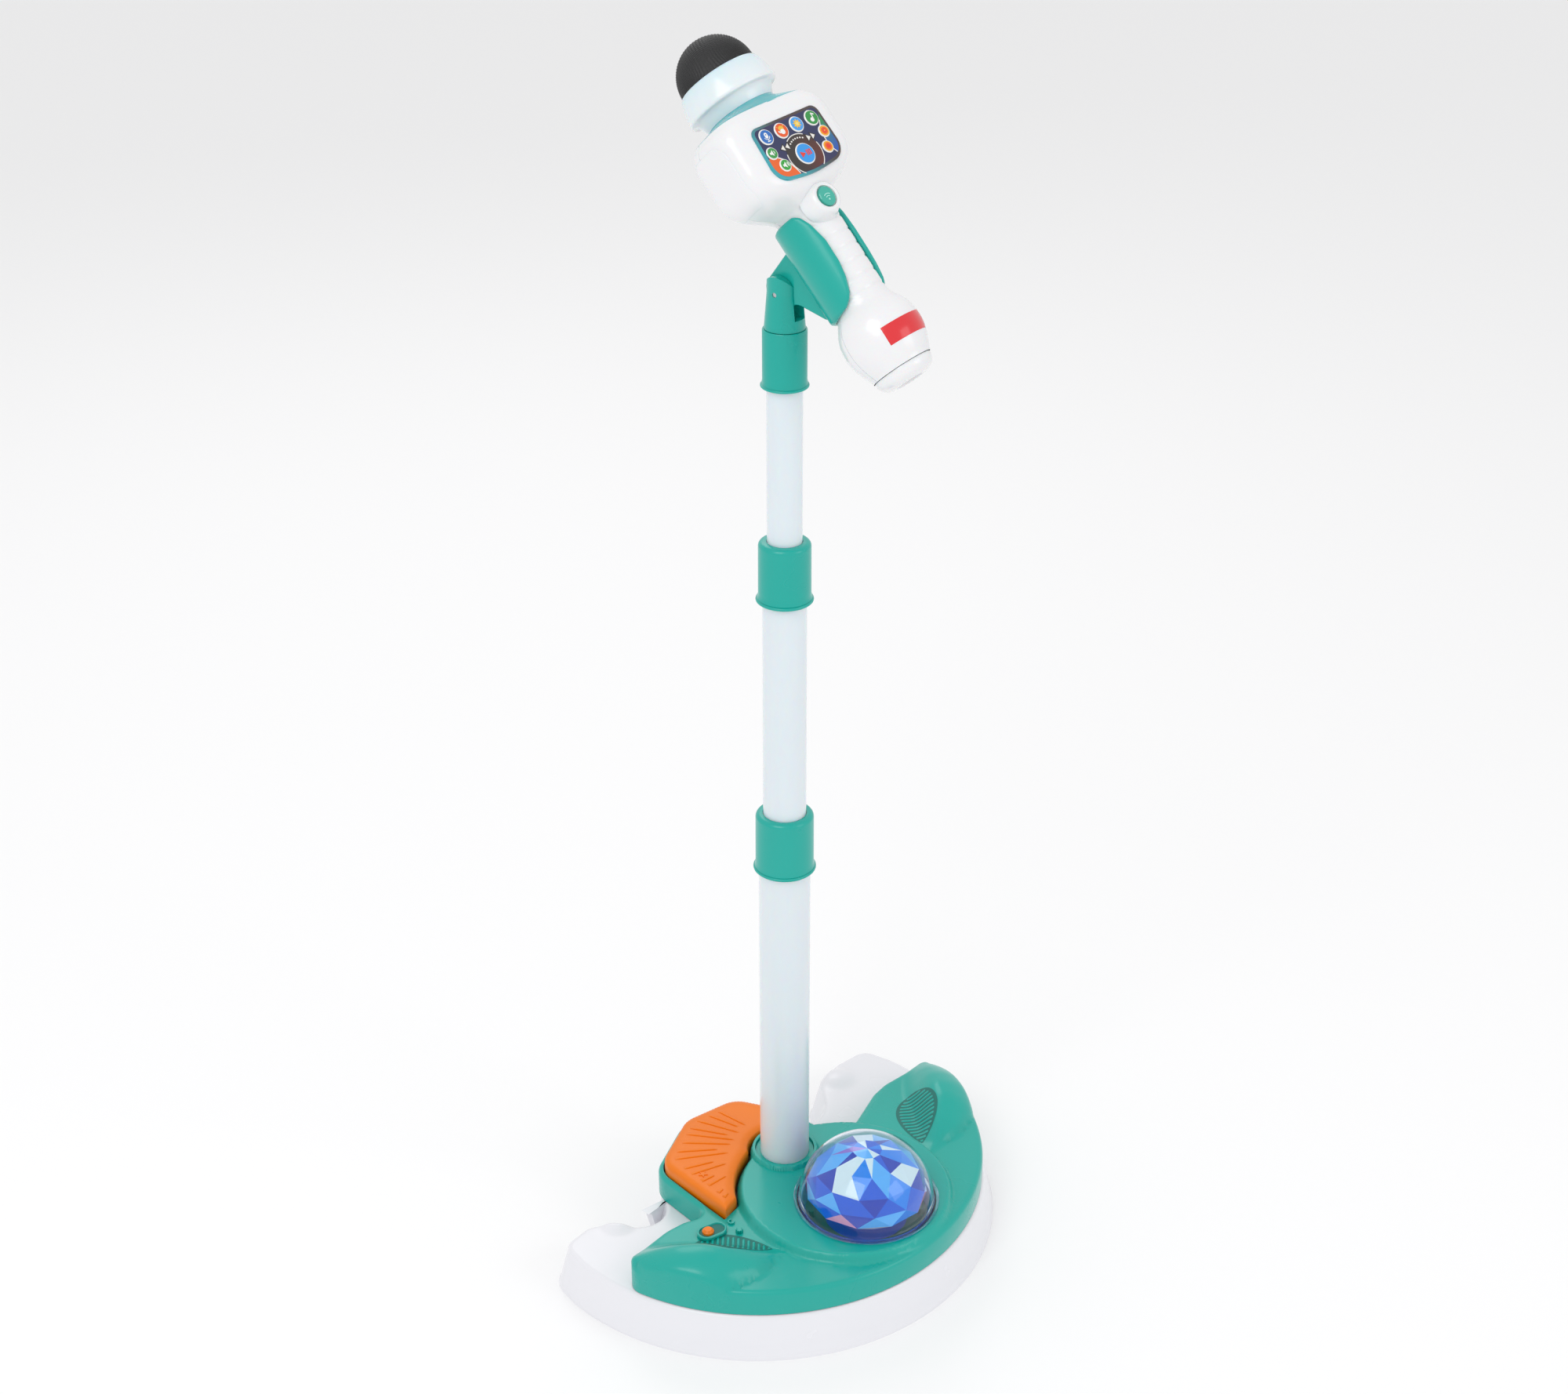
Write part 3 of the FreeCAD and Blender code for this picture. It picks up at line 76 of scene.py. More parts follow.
sky = bpy.data.worlds.new("studio_sky")
sky.use_nodes = True
sky.node_tree.nodes["Background"].inputs["Color"].default_value = (1, 1, 1, 1)
sky.node_tree.nodes["Background"].inputs["Strength"].default_value = 0.84
bpy.context.scene.world = sky
for name, place, aim, side, power in (
    ("key_light", (-1.6, -0.4, 2.0), (0, 0, 0.4), 1.2, 11),
    ("fill_light", (0.6, -2.0, 1.4), (0, 0, 0.4), 1.0, 4.5),
    ("back_light", (0.9, 1.4, 1.8), (0, 0, 0.5), 1.0, 4.5),
):
    lamp = bpy.data.lights.new(name, "AREA")
    lamp.size = side
    lamp.energy = power
    light = bpy.data.objects.new(name, lamp)
    light.location = place
    light.rotation_euler = (Vector(aim) - Vector(place)).to_track_quat("-Z", "Y").to_euler()
    bpy.context.scene.collection.objects.link(light)

# ---------------------------------------------------------------- frosted tray of the base
# The wide skirt that the base stands on: a clear milky moulding with leaning walls and soft edges,
# open below, with a low mound behind each wing tip. The bottom cover is screwed up into it.


def moulded_grain():
    """Node group for moulded plastic: a slow cloudy change of tint and gloss, and a fine orange peel.
    The tint is the colour times one plus a little noise; the normal is bumped by finer noise."""
    group = bpy.data.node_groups.new("moulded_grain", "ShaderNodeTree")
    for label, kind, side, value in (
        ("Color", "NodeSocketColor", "INPUT", (0.8, 0.8, 0.8, 1)),
                                     ("Roughness", "NodeSocketFloat", "INPUT", 0.3),
        ("Cloud", "NodeSocketFloat", "INPUT", 0.04), ("Peel Size", "NodeSocketFloat", "INPUT", 900.0),
        ("Peel", "NodeSocketFloat", "INPUT", 0.03), ("Color", "NodeSocketColor", "OUTPUT", None),
        ("Roughness", "NodeSocketFloat", "OUTPUT", None), ("Normal", "NodeSocketVector", "OUTPUT", None),
    ):
        socket = group.interface.new_socket(label, in_out=side, socket_type=kind)
        if value is not None:
            socket.default_value = value
    add, link = group.nodes.new, group.links.new
    given, out, place = add("NodeGroupInput"), add("NodeGroupOutput"), add("ShaderNodeTexCoord")
    cloud = add("ShaderNodeTexNoise")
    cloud.inputs["Scale"].default_value = 26
    cloud.inputs["Detail"].default_value = 3
    link(place.outputs["Object"], cloud.inputs["Vector"])
    swing = add("ShaderNodeMath")
    swing.operation = "SUBTRACT"
    swing.inputs[1].default_value = 0.5
    link(cloud.outputs["Fac"], swing.inputs[0])
    share = add("ShaderNodeMath")
    share.operation = "MULTIPLY"
    link(swing.outputs[0], share.inputs[0])
    link(given.outputs["Cloud"], share.inputs[1])
    gain = add("ShaderNodeMath")
    gain.operation = "ADD"
    gain.inputs[1].default_value = 1
    link(share.outputs[0], gain.inputs[0])
    tint = add("ShaderNodeVectorMath")
    tint.operation = "SCALE"
    link(given.outputs["Color"], tint.inputs[0])
    link(gain.outputs[0], tint.inputs["Scale"])
    link(tint.outputs["Vector"], out.inputs["Color"])
    gloss = add("ShaderNodeMath")
    gloss.operation = "ADD"
    link(given.outputs["Roughness"], gloss.inputs[0])
    link(share.outputs[0], gloss.inputs[1])
    link(gloss.outputs[0], out.inputs["Roughness"])
    peel = add("ShaderNodeTexNoise")
    link(place.outputs["Object"], peel.inputs["Vector"])
    link(given.outputs["Peel Size"], peel.inputs["Scale"])
    bump = add("ShaderNodeBump")
    bump.inputs["Distance"].default_value = 0.0004
    link(given.outputs["Peel"], bump.inputs["Strength"])
    link(peel.outputs["Fac"], bump.inputs["Height"])
    link(bump.outputs["Normal"], out.inputs["Normal"])
    return group


grain = moulded_grain()


def moulded(name, colour, roughness=0.3, cloud=0.05, peel=0.05, peel_size=900.0, **shine):
    """Plastic with the moulded grain; shine sets the shader's own sockets by name."""
    finish = bpy.data.materials.new(name)
    finish.use_nodes = True
    tree = finish.node_tree
    shader = tree.nodes["Principled BSDF"]
    skin = tree.nodes.new("ShaderNodeGroup")
    skin.node_tree = grain
    skin.inputs["Color"].default_value = (*colour, 1)
    for label, value in (("Roughness", roughness), ("Cloud", cloud), ("Peel", peel),
                         ("Peel Size", peel_size)):
        skin.inputs[label].default_value = value
    tree.links.new(skin.outputs["Color"], shader.inputs["Base Color"])
    tree.links.new(skin.outputs["Roughness"], shader.inputs["Roughness"])
    tree.links.new(skin.outputs["Normal"], shader.inputs["Normal"])
    for label, value in shine.items():
        shader.inputs[label.replace("_", " ")].default_value = value
    return finish


def rounded_path(corners, through=None, step=1.5):
    """Closed outline in plan: each corner (x, y, radius) becomes the arc of that radius that touches
    both of its sides, and with through the last corner joins the first by the circle through that
    point. The points lie one step apart along it."""
    spots = np.array([corner[:2] for corner in corners], float)
    back, on = np.roll(spots, 1, 0) - spots, np.roll(spots, -1, 0) - spots
    back /= np.linalg.norm(back, axis=1)[:, None]
    on /= np.linalg.norm(on, axis=1)[:, None]
    runs = []
    for spot, to_back, to_next, corner in zip(spots, back, on, corners):
        if corner[2] == 0:
            runs.append(spot[None])
            continue
        half = math.acos(to_back @ to_next) / 2
        inward = (to_back + to_next) / np.linalg.norm(to_back + to_next)
        centre = spot + inward * corner[2] / math.sin(half)
        first, last = (spot + way * corner[2] / math.tan(half) - centre for way in (to_back, to_next))
        start = math.atan2(first[1], first[0])
        sweep = (math.atan2(last[1], last[0]) - start + math.pi) % (2 * math.pi) - math.pi
        turn = start + sweep * np.linspace(0, 1, 24)
        runs.append(centre + corner[2] * np.stack([np.cos(turn), np.sin(turn)], 1))
    if through is not None:
        first, middle, last = runs[-1][-1], np.array(through, float), runs[0][0]
        sides = 2 * np.array([middle - first, last - first])
        centre = np.linalg.solve(sides, [middle @ middle - first @ first, last @ last - first @ first])
        radius = np.linalg.norm(first - centre)
        start = math.atan2(*(first - centre)[::-1])
        sweep = (math.atan2(*(last - centre)[::-1]) - start) % (2 * math.pi) - 2 * math.pi
        turn = start + sweep * np.linspace(0, 1, 300)[1:-1]
        runs.append(centre + radius * np.stack([np.cos(turn), np.sin(turn)], 1))
    path = np.concatenate(runs)
    return evenly(path, step)


def evenly(path, step):
    """The closed path again, with its points spaced one step apart by length."""
    closed = np.vstack([path, path[:1]])
    walked = np.concatenate([[0], np.cumsum(np.linalg.norm(np.diff(closed, axis=0), axis=1))])
    stops = np.linspace(0, walked[-1], int(walked[-1] / step) + 1)[:-1]
    return np.stack([np.interp(stops, walked, closed[:, i]) for i in (0, 1)], 1)


def set_in(path, by):
    """The closed path moved inwards by a distance, each point along the normal of its neighbours'
    chord; an outline with points that run clockwise has its inside on the right."""
    chord = np.roll(path, -1, 0) - np.roll(path, 1, 0)
    area = (path[:, 0] * np.roll(path[:, 1], -1) - np.roll(path[:, 0], -1) * path[:, 1]).sum()
    normal = np.stack([chord[:, 1], -chord[:, 0]], 1) * (-1 if area > 0 else 1)
    return path + normal / np.linalg.norm(normal, axis=1)[:, None] * by


def inside(points, path):
    """Which points lie inside the closed path: those whose ray along +X crosses it an odd number of
    times."""
    ends = np.roll(path, -1, 0)
    px, py = points[:, 0][:, None], points[:, 1][:, None]
    crosses = (path[:, 1] > py) != (ends[:, 1] > py)
    rise = np.where(ends[:, 1] == path[:, 1], 1, ends[:, 1] - path[:, 1])
    reach = path[:, 0] + (py - path[:, 1]) / rise * (ends[:, 0] - path[:, 0])
    return (crosses & (px < reach)).sum(1) % 2 == 1


def circle(x, y, radius, step=2.0):
    """Points round a circle, about one step apart, clockwise."""
    count = max(8, int(2 * math.pi * radius / step))
    turn = -np.linspace(0, 2 * math.pi, count, endpoint=False)
    return np.stack([x + radius * np.cos(turn), y + radius * np.sin(turn)], 1)


def piece(name, points, faces, finish, body, sharp=35, closed=True, colours=None):
    """A mesh object from points in mm: doubles merged, so that seams and poles close, normals turned
    outwards, shaded smooth but for edges sharper than the given angle, riding on its body. Its points
    may carry a colour each, for a print."""
    mesh = bpy.data.meshes.new(name)
    mesh.from_pydata((np.asarray(points, float) * 0.001).tolist(), [], faces)
    if colours is not None:
        layer = mesh.attributes.new("print", "FLOAT_COLOR", "POINT")
        layer.data.foreach_set("color", colours.astype(np.float32).ravel())
    work = bmesh.new()
    work.from_mesh(mesh)
    bmesh.ops.remove_doubles(work, verts=work.verts, dist=1.2e-5)
    bmesh.ops.dissolve_degenerate(work, edges=work.edges, dist=1e-6)
    bmesh.ops.recalc_face_normals(work, faces=work.faces)
    work.to_mesh(mesh)
    if not closed:
        hub = Vector(np.mean(points, 0) * 0.001)
        if sum(face.normal.dot(face.center - hub) * face.area for face in mesh.polygons) < 0:
            mesh.flip_normals()
    work.free()
    mesh.shade_smooth()
    mesh.set_sharp_from_angle(angle=math.radians(sharp))
    mesh.materials.append(finish)
    made = bpy.data.objects.new(name, mesh)
    bpy.context.scene.collection.objects.link(made)
    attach(made, body)
    return made


def lattice(rows, cols, round_rows=False, round_cols=True, start=0):
    """Quads over a grid of rows by columns, each way open or joined round to its start."""
    r = np.arange(rows if round_rows else rows - 1)[:, None]
    c = np.arange(cols if round_cols else cols - 1)[None]
    on_r, on_c = (r + 1) % rows, (c + 1) % cols
    quads = np.stack([r * cols + c, r * cols + on_c, on_r * cols + on_c, on_r * cols + c], -1)
    return (quads.reshape(-1, 4) + start).tolist()


def skin_over(path, rows, height, spacing, holes=(), detail=(), creases=()):
    """Wall and top in one skin, as points and faces. The wall carries rows, each (set-in, height at
    an outline point as a function of the top's height there), round the path. The top is a net of
    triangles over the last row, fine points and hole edges, every point lifted to height(x, y)."""
    rings = [set_in(path, by) for by, _ in rows]
    walls = [np.column_stack([ring, level(height(ring))]) for ring, (_, level) in zip(rings, rows)]
    points = np.concatenate(walls)
    faces = lattice(len(rows), len(path))
    low, high = path.min(0), path.max(0)
    across, along = np.arange(low[0], high[0], spacing), np.arange(low[1], high[1], spacing * 0.866)
    net = np.stack(np.meshgrid(across, along), -1)
    net[1::2, :, 0] += spacing / 2
    net = np.concatenate([net.reshape(-1, 2), *detail]) if len(detail) else net.reshape(-1, 2)
    net = net[inside(net, set_in(rings[-1], spacing * 0.5))]
    for crease in creases:
        gap = np.linalg.norm(net[:, None] - crease[None], axis=2).min(1)
        net = net[gap > spacing * 0.45]
    for hole in holes:
        net = net[~inside(net, set_in(hole, -spacing * 0.35))]
    loops, edges, count = [rings[-1], *holes], [], 0
    for loop in loops:
        edges += [(count + i, count + (i + 1) % len(loop)) for i in range(len(loop))]
        count += len(loop)
    for crease in creases:
        edges += [(count + i, count + i + 1) for i in range(len(crease) - 1)]
        count += len(crease)
    flat = np.concatenate([*loops, *creases, net])
    found = delaunay_2d_cdt([Vector(p) for p in flat.tolist()], edges, [], 0, 1e-4)
    flat = np.array([tuple(p) for p in found[0]])
    corners = np.array([f for f in found[2]])
    middle = flat[corners].mean(1)
    keep = inside(middle, rings[-1])
    for hole in holes:
        keep &= ~inside(middle, hole)
    faces += (corners[keep] + len(points)).tolist()
    return np.vstack([points, np.column_stack([flat, height(flat)])]), faces


def ease(value, low, high):
    """Smooth step from 0 at low to 1 at high."""
    share = np.clip((value - low) / (high - low), 0, 1)
    return share * share * (3 - 2 * share)


def at_level(z):
    return lambda top: np.full_like(top, z)


def below_top(drop):
    return lambda top: top - drop


tray_path = rounded_path([
    (-166, 40, 0), (-160, 68, 19), (-124, 71, 20), (-104, 46, 24), (-82, 32, 10), (-82, 54, 19),
    (-26, 84, 24), (22, 76, 22), (50, 32, 14), (76, 40, 24), (98, 66, 19), (126, 71, 20), (160, 68, 19),
    (166, 40, 0)], through=(0, -142))


def tray_height(p):
    """Level top with a low round mound behind each wing tip: a bell of the distance from its middle."""
    off = np.hypot(np.abs(p[:, 0]) - 113, (p[:, 1] - 51) * 1.1)
    return 31 + 4.2 * np.exp(-((off / 11) ** 4))


tray_rows = [(2.2, at_level(0.0)), (0.0, at_level(0.0)), (0.0, at_level(1.6)), (0.5, at_level(2.3)),
             (1.0, at_level(3.2)), (2.4, at_level(10)), (4.4, at_level(18)), (6.2, at_level(24.5)),
             (7.0, at_level(27.8)), (7.4, below_top(2.0)), (8.1, below_top(1.1)), (9.1, below_top(0.4)),
             (10.2, below_top(0.08)), (11.0, below_top(0.0))]
frosted = moulded("frosted_white", (0.82, 0.82, 0.86), 0.27, 0.02, 0.03, 500.0, Coat_Weight=0.2,
                  Coat_Roughness=0.2)
tray_skin = piece("tray_skin", *skin_over(tray_path, tray_rows, tray_height, 4.0), frosted, "base",
                  sharp=50, closed=False)
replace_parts(tray_skin, "base_tray")

# ---------------------------------------------------------------- teal deck
# The top moulding, snapped over the tray: a flat deck with a round plateau for the projector, a ring
# round the pole, a frame round the pedal, and a raised wing each side with a sharp crest.
deck_path = rounded_path([
    (-152, -16, 0), (-156.2, 1.5, 12), (-112, 5, 40), (-98, 3, 20), (-80, -4, 8), (-74, 55, 22),
    (-25, 78, 24), (20, 70, 22),
    (41, 30, 14), (44, 0, 8), (62, -10, 12), (98, 3, 20), (112, 5, 40), (156.2, 1.5, 12),
    (152, -16, 0)], through=(0, -133.5))
crest = np.array([(149, -4, 4), (141, -14, 10), (132, -26, 15), (123, -37, 17), (114, -48, 16),
                  (99, -60, 10), (82, -69, 2)], float)
fine = np.linspace(0, len(crest) - 1, 240)
crest = np.stack([np.interp(fine, np.arange(len(crest)), crest[:, i]) for i in range(3)], 1)
smoothing = np.hanning(41) / np.hanning(41).sum()
crest[20:-20] = np.stack([np.convolve(crest[:, i], smoothing, "valid") for i in range(3)], 1)
crest_lines = [crest[::6, :2] * (side, 1) for side in (-1, 1)]


def wing_height(p):
    """Rise of the wings over the deck. With d the distance from the crest line, it is the crest's
    height times (1 - (d / lobe width) squared) to the power 0.7 outside the crest, and times half a
    cosine wave down to nothing inside it."""
    q = np.column_stack([np.abs(p[:, 0]), p[:, 1]])
    gap = q[:, None] - crest[None, :, :2]
    near = np.argmin((gap ** 2).sum(2), 1)
    d = np.linalg.norm(gap[np.arange(len(q)), near], axis=1)
    on = crest[np.minimum(near + 1, len(crest) - 1), :2] - crest[np.maximum(near - 1, 0), :2]
    side = on[:, 0] * gap[np.arange(len(q)), near, 1] - on[:, 1] * gap[np.arange(len(q)), near, 0]
    share = near / (len(crest) - 1)
    lobe = 26 * np.sin(np.pi * np.clip(share, 0.02, 0.98)) ** 0.7
    slope = 12 + 13 * np.sin(np.pi * share) ** 0.6
    outer = np.clip(1 - (d / lobe) ** 2, 0, 1) ** 0.7
    inner = 0.5 + 0.5 * np.cos(np.pi * np.clip(d / slope, 0, 1))
    return crest[near, 2] * np.where(side > 0, outer, inner)


def deck_height(p):
    """Level 50, raised to 56 on the plateau, to 59 on the pole's ring, and by the wings."""
    plateau = 6 * (1 - ease(np.hypot(p[:, 0], p[:, 1] + 57), 70.5, 75.0))
    ring = 9 * (1 - ease(np.hypot(p[:, 0], p[:, 1]), 22.6, 25.2))
    return 50 + np.maximum(np.maximum(plateau, ring), wing_height(p))


pedal_edge = rounded_path([(-78, -19, 0), (-72, 53, 20), (-25, 75, 22), (18, 67, 20), (36, 28, 12),
                           (36, -40, 0)], step=1.0)


def pedal_path(gap, step=1.5):
    """Outline of the pedal less the plateau and the ring, drawn as rays from a point within it: the
    nearest of the pedal's own edge and of the two circles, each kept off by the gap."""
    eye = np.array([-22.0, 46.0])
    turn = np.linspace(0, -2 * math.pi, 1400, endpoint=False)
    way = np.stack([np.cos(turn), np.sin(turn)], 1)
    edge = set_in(pedal_edge, gap) - eye
    bearing = np.arctan2(edge[:, 1], edge[:, 0])
    order = np.argsort(bearing)
    reach = np.interp(turn, bearing[order], np.hypot(*edge[order].T), period=2 * math.pi)
    for centre, radius in (((0, -57), 74 + gap), ((0, 0), 23.7 + gap)):
        to = np.array(centre) - eye
        ahead = way @ to
        depth = radius ** 2 - (to @ to - ahead ** 2)
        hit = ahead - np.sqrt(np.clip(depth, 0, None))
        reach = np.where((depth > 0) & (ahead > 0), np.minimum(reach, hit), reach)
    path = eye + way * reach[:, None]
    return evenly(path[path[:, 1] > -17], step)


bay_path = pedal_path(0.2)
pole_hole, dome_hole = circle(0, 0, 20.6, 1.6), circle(0, -76, 47.5, 2.0)
rings_of_detail = [circle(0, -57, radius, 2.2) for radius in (70.5, 71.4, 72.3, 73.2, 74.1, 75.0)]
rings_of_detail += [circle(0, 0, radius, 1.8) for radius in (22.4, 23.1, 23.8, 24.5, 25.2)]
deck_rows = [(0.0, at_level(31.4)), (0.0, at_level(36)), (0.0, below_top(3.2)), (0.35, below_top(1.9)),
             (1.1, below_top(0.8)), (2.2, below_top(0.15)), (3.4, below_top(0.0))]
deck_points, deck_faces = skin_over(deck_path, deck_rows, deck_height, 2.4,
                                    holes=[bay_path, pole_hole, dome_hole],
                                    detail=rings_of_detail, creases=crest_lines)
for hole, depth in ((bay_path, 40), (pole_hole, 48)):
    top = np.column_stack([hole, deck_height(hole)])
    foot = np.column_stack([hole, np.full(len(hole), float(depth))])
    deck_faces += lattice(2, len(hole), start=len(deck_points))
    deck_points = np.vstack([deck_points, top, foot])
teal = moulded("teal_plastic", (0.0, 0.385, 0.325), 0.28, 0.05, 0.06, 1400.0, Coat_Weight=0.2,
               Coat_Roughness=0.15, Specular_IOR_Level=0.45)
deck_skin = piece("deck_skin", deck_points, deck_faces, teal, "base", sharp=42, closed=True)
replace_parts(deck_skin, "base_deck")

# ---------------------------------------------------------------- speaker grilles on the wings
# A leaf of raised slats on the inner slope of each wing, over a sheet of darker teal laid on the deck as
# painted shade for the gaps; the slats are part of the same moulding and let the sound of the speaker below
# out between them.
slats, slat_faces, shade_sheets, shade_sheet_faces = [], [], [], []
slat_count, long_points, round_points = 15, 14, 7
for side in (-1, 1):
    top_end, low_end = np.array([113.0, -22.0]), np.array([78.0, -60.0])
    lengthwise = low_end - top_end
    cross = np.array([-lengthwise[1], lengthwise[0]]) / np.linalg.norm(lengthwise)
    t = (np.arange(slat_count) + 0.7) / slat_count
    half = 13.5 * np.sin(np.pi * t ** 0.75) ** 0.8
    v = np.linspace(-1, 1, long_points)
    turn = np.linspace(0, np.pi, round_points)
    middle = top_end + lengthwise * t[:, None]
    centre = middle[:, None, None] + cross * (half[:, None] * v)[:, :, None, None]
    spot = centre + (lengthwise / np.linalg.norm(lengthwise)) * (1.05 * np.cos(turn))[:, None]
    spot = spot * (side, 1)
    pinch = np.sqrt(np.clip(1 - v ** 6, 0, 1))[None, :, None]
    rise = deck_height(spot.reshape(-1, 2)).reshape(spot.shape[:3])
    level = rise - 0.4 + 1.1 * np.sin(turn) * pinch
    for i in range(slat_count):
        slat_faces += lattice(long_points, round_points, start=sum(len(s) for s in slats))
        slats.append(np.dstack([spot[i], level[i]]).reshape(-1, 3))
    # Painted shade: a leaf of dark teal laid 0.12 mm over the deck under the slats, standing for the shade
    # in the gaps between them.
    t, v = np.linspace(0.0, 1, 40), np.linspace(-1, 1, 16)
    half = 14.6 * np.sin(np.pi * np.clip(t, 0.004, 0.996) ** 0.75) ** 0.8
    leaf = ((top_end + lengthwise * (t * 1.04 - 0.02)[:, None])[:, None]
            + cross * (half[:, None] * v)[..., None])
    leaf = leaf * (side, 1)
    lift = deck_height(leaf.reshape(-1, 2)).reshape(leaf.shape[:2]) + 0.12
    shade_sheet_faces += lattice(40, 16, round_cols=False, start=sum(len(g) for g in shade_sheets))
    shade_sheets.append(np.dstack([leaf, lift]).reshape(-1, 3))
grille_slats = piece("grille_slats", np.concatenate(slats), slat_faces, teal, "base")
# Dark teal used as painted shade, under the grille's slats and in the switch's slot.
shade_teal = moulded("painted_shade_teal", (0.002, 0.16, 0.135), 0.5, 0.05, 0.05)
grille_shade_sheet = piece("grille_shade_sheet", np.concatenate(shade_sheets), shade_sheet_faces, shade_teal, "base",
                      closed=False)

# ---------------------------------------------------------------- power switch
# An orange knob that slides in a slot with a raised rim, moulded in the left wing's flat, with two
# small raised marks at the ends of its travel.


def stadium(x, y, straight, radius, turn_degrees=0.0, step=0.8):
    """Outline of a rounded slot: two straight sides joined by half circles, turned and put in place."""
    turn = np.linspace(-np.pi / 2, np.pi / 2, max(8, int(3 * radius / step)))
    cap = np.stack([straight / 2 + radius * np.cos(turn), radius * np.sin(turn)], 1)
    path = np.concatenate([cap, -cap])[::-1]
    a = math.radians(turn_degrees)
    return path @ np.array([[math.cos(a), math.sin(a)], [-math.sin(a), math.cos(a)]]) + (x, y)


def stacked(shapes, place=None):
    """Printed or moulded layers: each shape (outline, low, high, colour, bevel) is a prism whose top
    edge is bevelled. Returns points, faces and one colour per point; place maps flat points and their
    heights into the frame."""
    points, faces, colours = [], [], []
    for outline, low, high, colour, bevel in shapes:
        count, start = len(outline), sum(len(p) for p in points)
        levels = ((outline, low), (outline, high - bevel), (set_in(outline, bevel), high))
        solid = np.concatenate([np.column_stack([ring, np.full(count, float(z))]) for ring, z in levels])
        points.append(solid)
        faces += lattice(3, count, start=start)
        faces += [list(range(start, start + count)), list(range(start + 2 * count, start + 3 * count))]
        colours.append(np.tile((*colour, 1.0), (len(solid), 1)))
    points = np.concatenate(points)
    return (points if place is None else place(points)), faces, np.concatenate(colours)


switch_at, switch_turn = np.array([-93.0, -20.0]), -15
slot_rim = stadium(*switch_at, 8, 6.6, switch_turn)
slot_mouth = stadium(*switch_at, 8, 4.9, switch_turn)
rim_levels = ((0, 50.5), (0, 52.2), (0.5, 52.9), (1.2, 52.9), (1.9, 51.6), (2.2, 49.5))
rim_points = np.concatenate([np.column_stack([set_in(slot_rim, by), np.full(len(slot_rim), z)])
                             for by, z in rim_levels])
switch_rim = piece("switch_rim", rim_points, lattice(len(rim_levels), len(slot_rim)), teal, "base",
                   closed=False)
# Painted shade: a dark teal sheet fills the slot's mouth, standing for the shade inside the recess.
well, well_faces, _ = stacked([(slot_mouth, 50.6, 52.05, (0, 0, 0), 0.1)])
switch_well_shade = piece("switch_well_shade", well, well_faces, shade_teal, "base")


def star_path(x, y, outer, inner, tips, turn=0.0):
    """Star outline, clockwise: points at two radii in turn."""
    a = -np.arange(2 * tips) * np.pi / tips + turn
    radius = np.where(np.arange(2 * tips) % 2 == 0, outer, inner)
    return np.stack([x + radius * np.cos(a), y + radius * np.sin(a)], 1)


def band(x, y, radius, wide, first, last, step=8.0):
    """Outline of a piece of ring between two angles in degrees, clockwise."""
    a = np.radians(np.linspace(last, first, max(4, int(abs(last - first) / step) + 2)))
    arc = np.stack([np.cos(a), np.sin(a)], 1)
    return np.concatenate([(x, y) + arc * (radius + wide / 2), ((x, y) + arc * (radius - wide / 2))[::-1]])


marks, mark_faces, _ = stacked([
    (star_path(-80, -33, 2.6, 1.3, 8), 50.0, 52.6, (0, 0, 0), 0.15),
    (band(-76.5, -22, 2.0, 0.9, 40, 320), 50.0, 51.6, (0, 0, 0), 0.15),
])
switch_marks = piece("switch_marks", marks, mark_faces, teal, "base")

# ---------------------------------------------------------------- foot pedal
# Orange plate with soft edges that rocks on a pin at its heel; raised rays run over it towards the
# pole, with a small star at the end of one.
pedal_outline = pedal_path(1.8, 1.2)


def pedal_height(p):
    """Level 59 less a quarter-round fall over the 7 mm next to the edge."""
    gap = np.linalg.norm(p[:, None] - pedal_outline[None, ::2], axis=2).min(1)
    share = 1 - np.clip(gap / 7.5, 0, 1)
    return 59.0 - 3.2 * (1 - np.sqrt(np.clip(1 - share ** 2.2, 0, 1)))


pedal_rows = [(0.8, at_level(45.0)), (0.0, at_level(46.0)), (0.0, below_top(2.2)), (0.25, below_top(1.0)),
              (0.9, below_top(0.2)), (1.5, below_top(0.0))]
orange = moulded("orange_plastic", (0.86, 0.195, 0.0), 0.34, 0.05, 0.08, 1300.0, Specular_IOR_Level=0.4)
pedal_points, pedal_faces = skin_over(pedal_outline, pedal_rows, pedal_height, 2.2)
bearings = np.radians([186, 181, 172, 166.5, 158, 152, 143, 137, 129, 121, 115, 107, 99, 92])
starts = np.array([58, 63, 52, 58, 45, 52, 40, 47, 38, 36, 42, 36, 40, 37.0])
ends = np.array([75, 78, 84, 80, 93, 86, 96, 90, 93, 85, 90, 78, 82, 70.0])
trial = np.linspace(30, 110, 161)
within = np.stack([inside(np.stack([np.cos(a) * trial, np.sin(a) * trial], 1), set_in(pedal_outline, 6.5))
                   for a in bearings])
ends = np.minimum(ends, trial[within.shape[1] - 1 - np.argmax(within[:, ::-1], axis=1)])
starts = np.minimum(np.maximum(starts, trial[np.argmax(within, axis=1)]), ends - 5)
t, across = np.linspace(0, 1, 12), np.array([-1, -0.85, -0.4, 0.4, 0.85, 1])
rise = np.array([-0.5, 0.5, 0.75, 0.75, 0.5, -0.5])
way = np.stack([np.cos(bearings), np.sin(bearings)], 1)
wide = 0.55 + 1.15 * t
reach = starts[:, None] + (ends - starts)[:, None] * t
spot = (way[:, None] * reach[..., None])[:, :, None] + (np.stack([-way[:, 1], way[:, 0]], 1)[:, None, None]
                                                       * (wide[:, None] * across)[None, :, :, None])
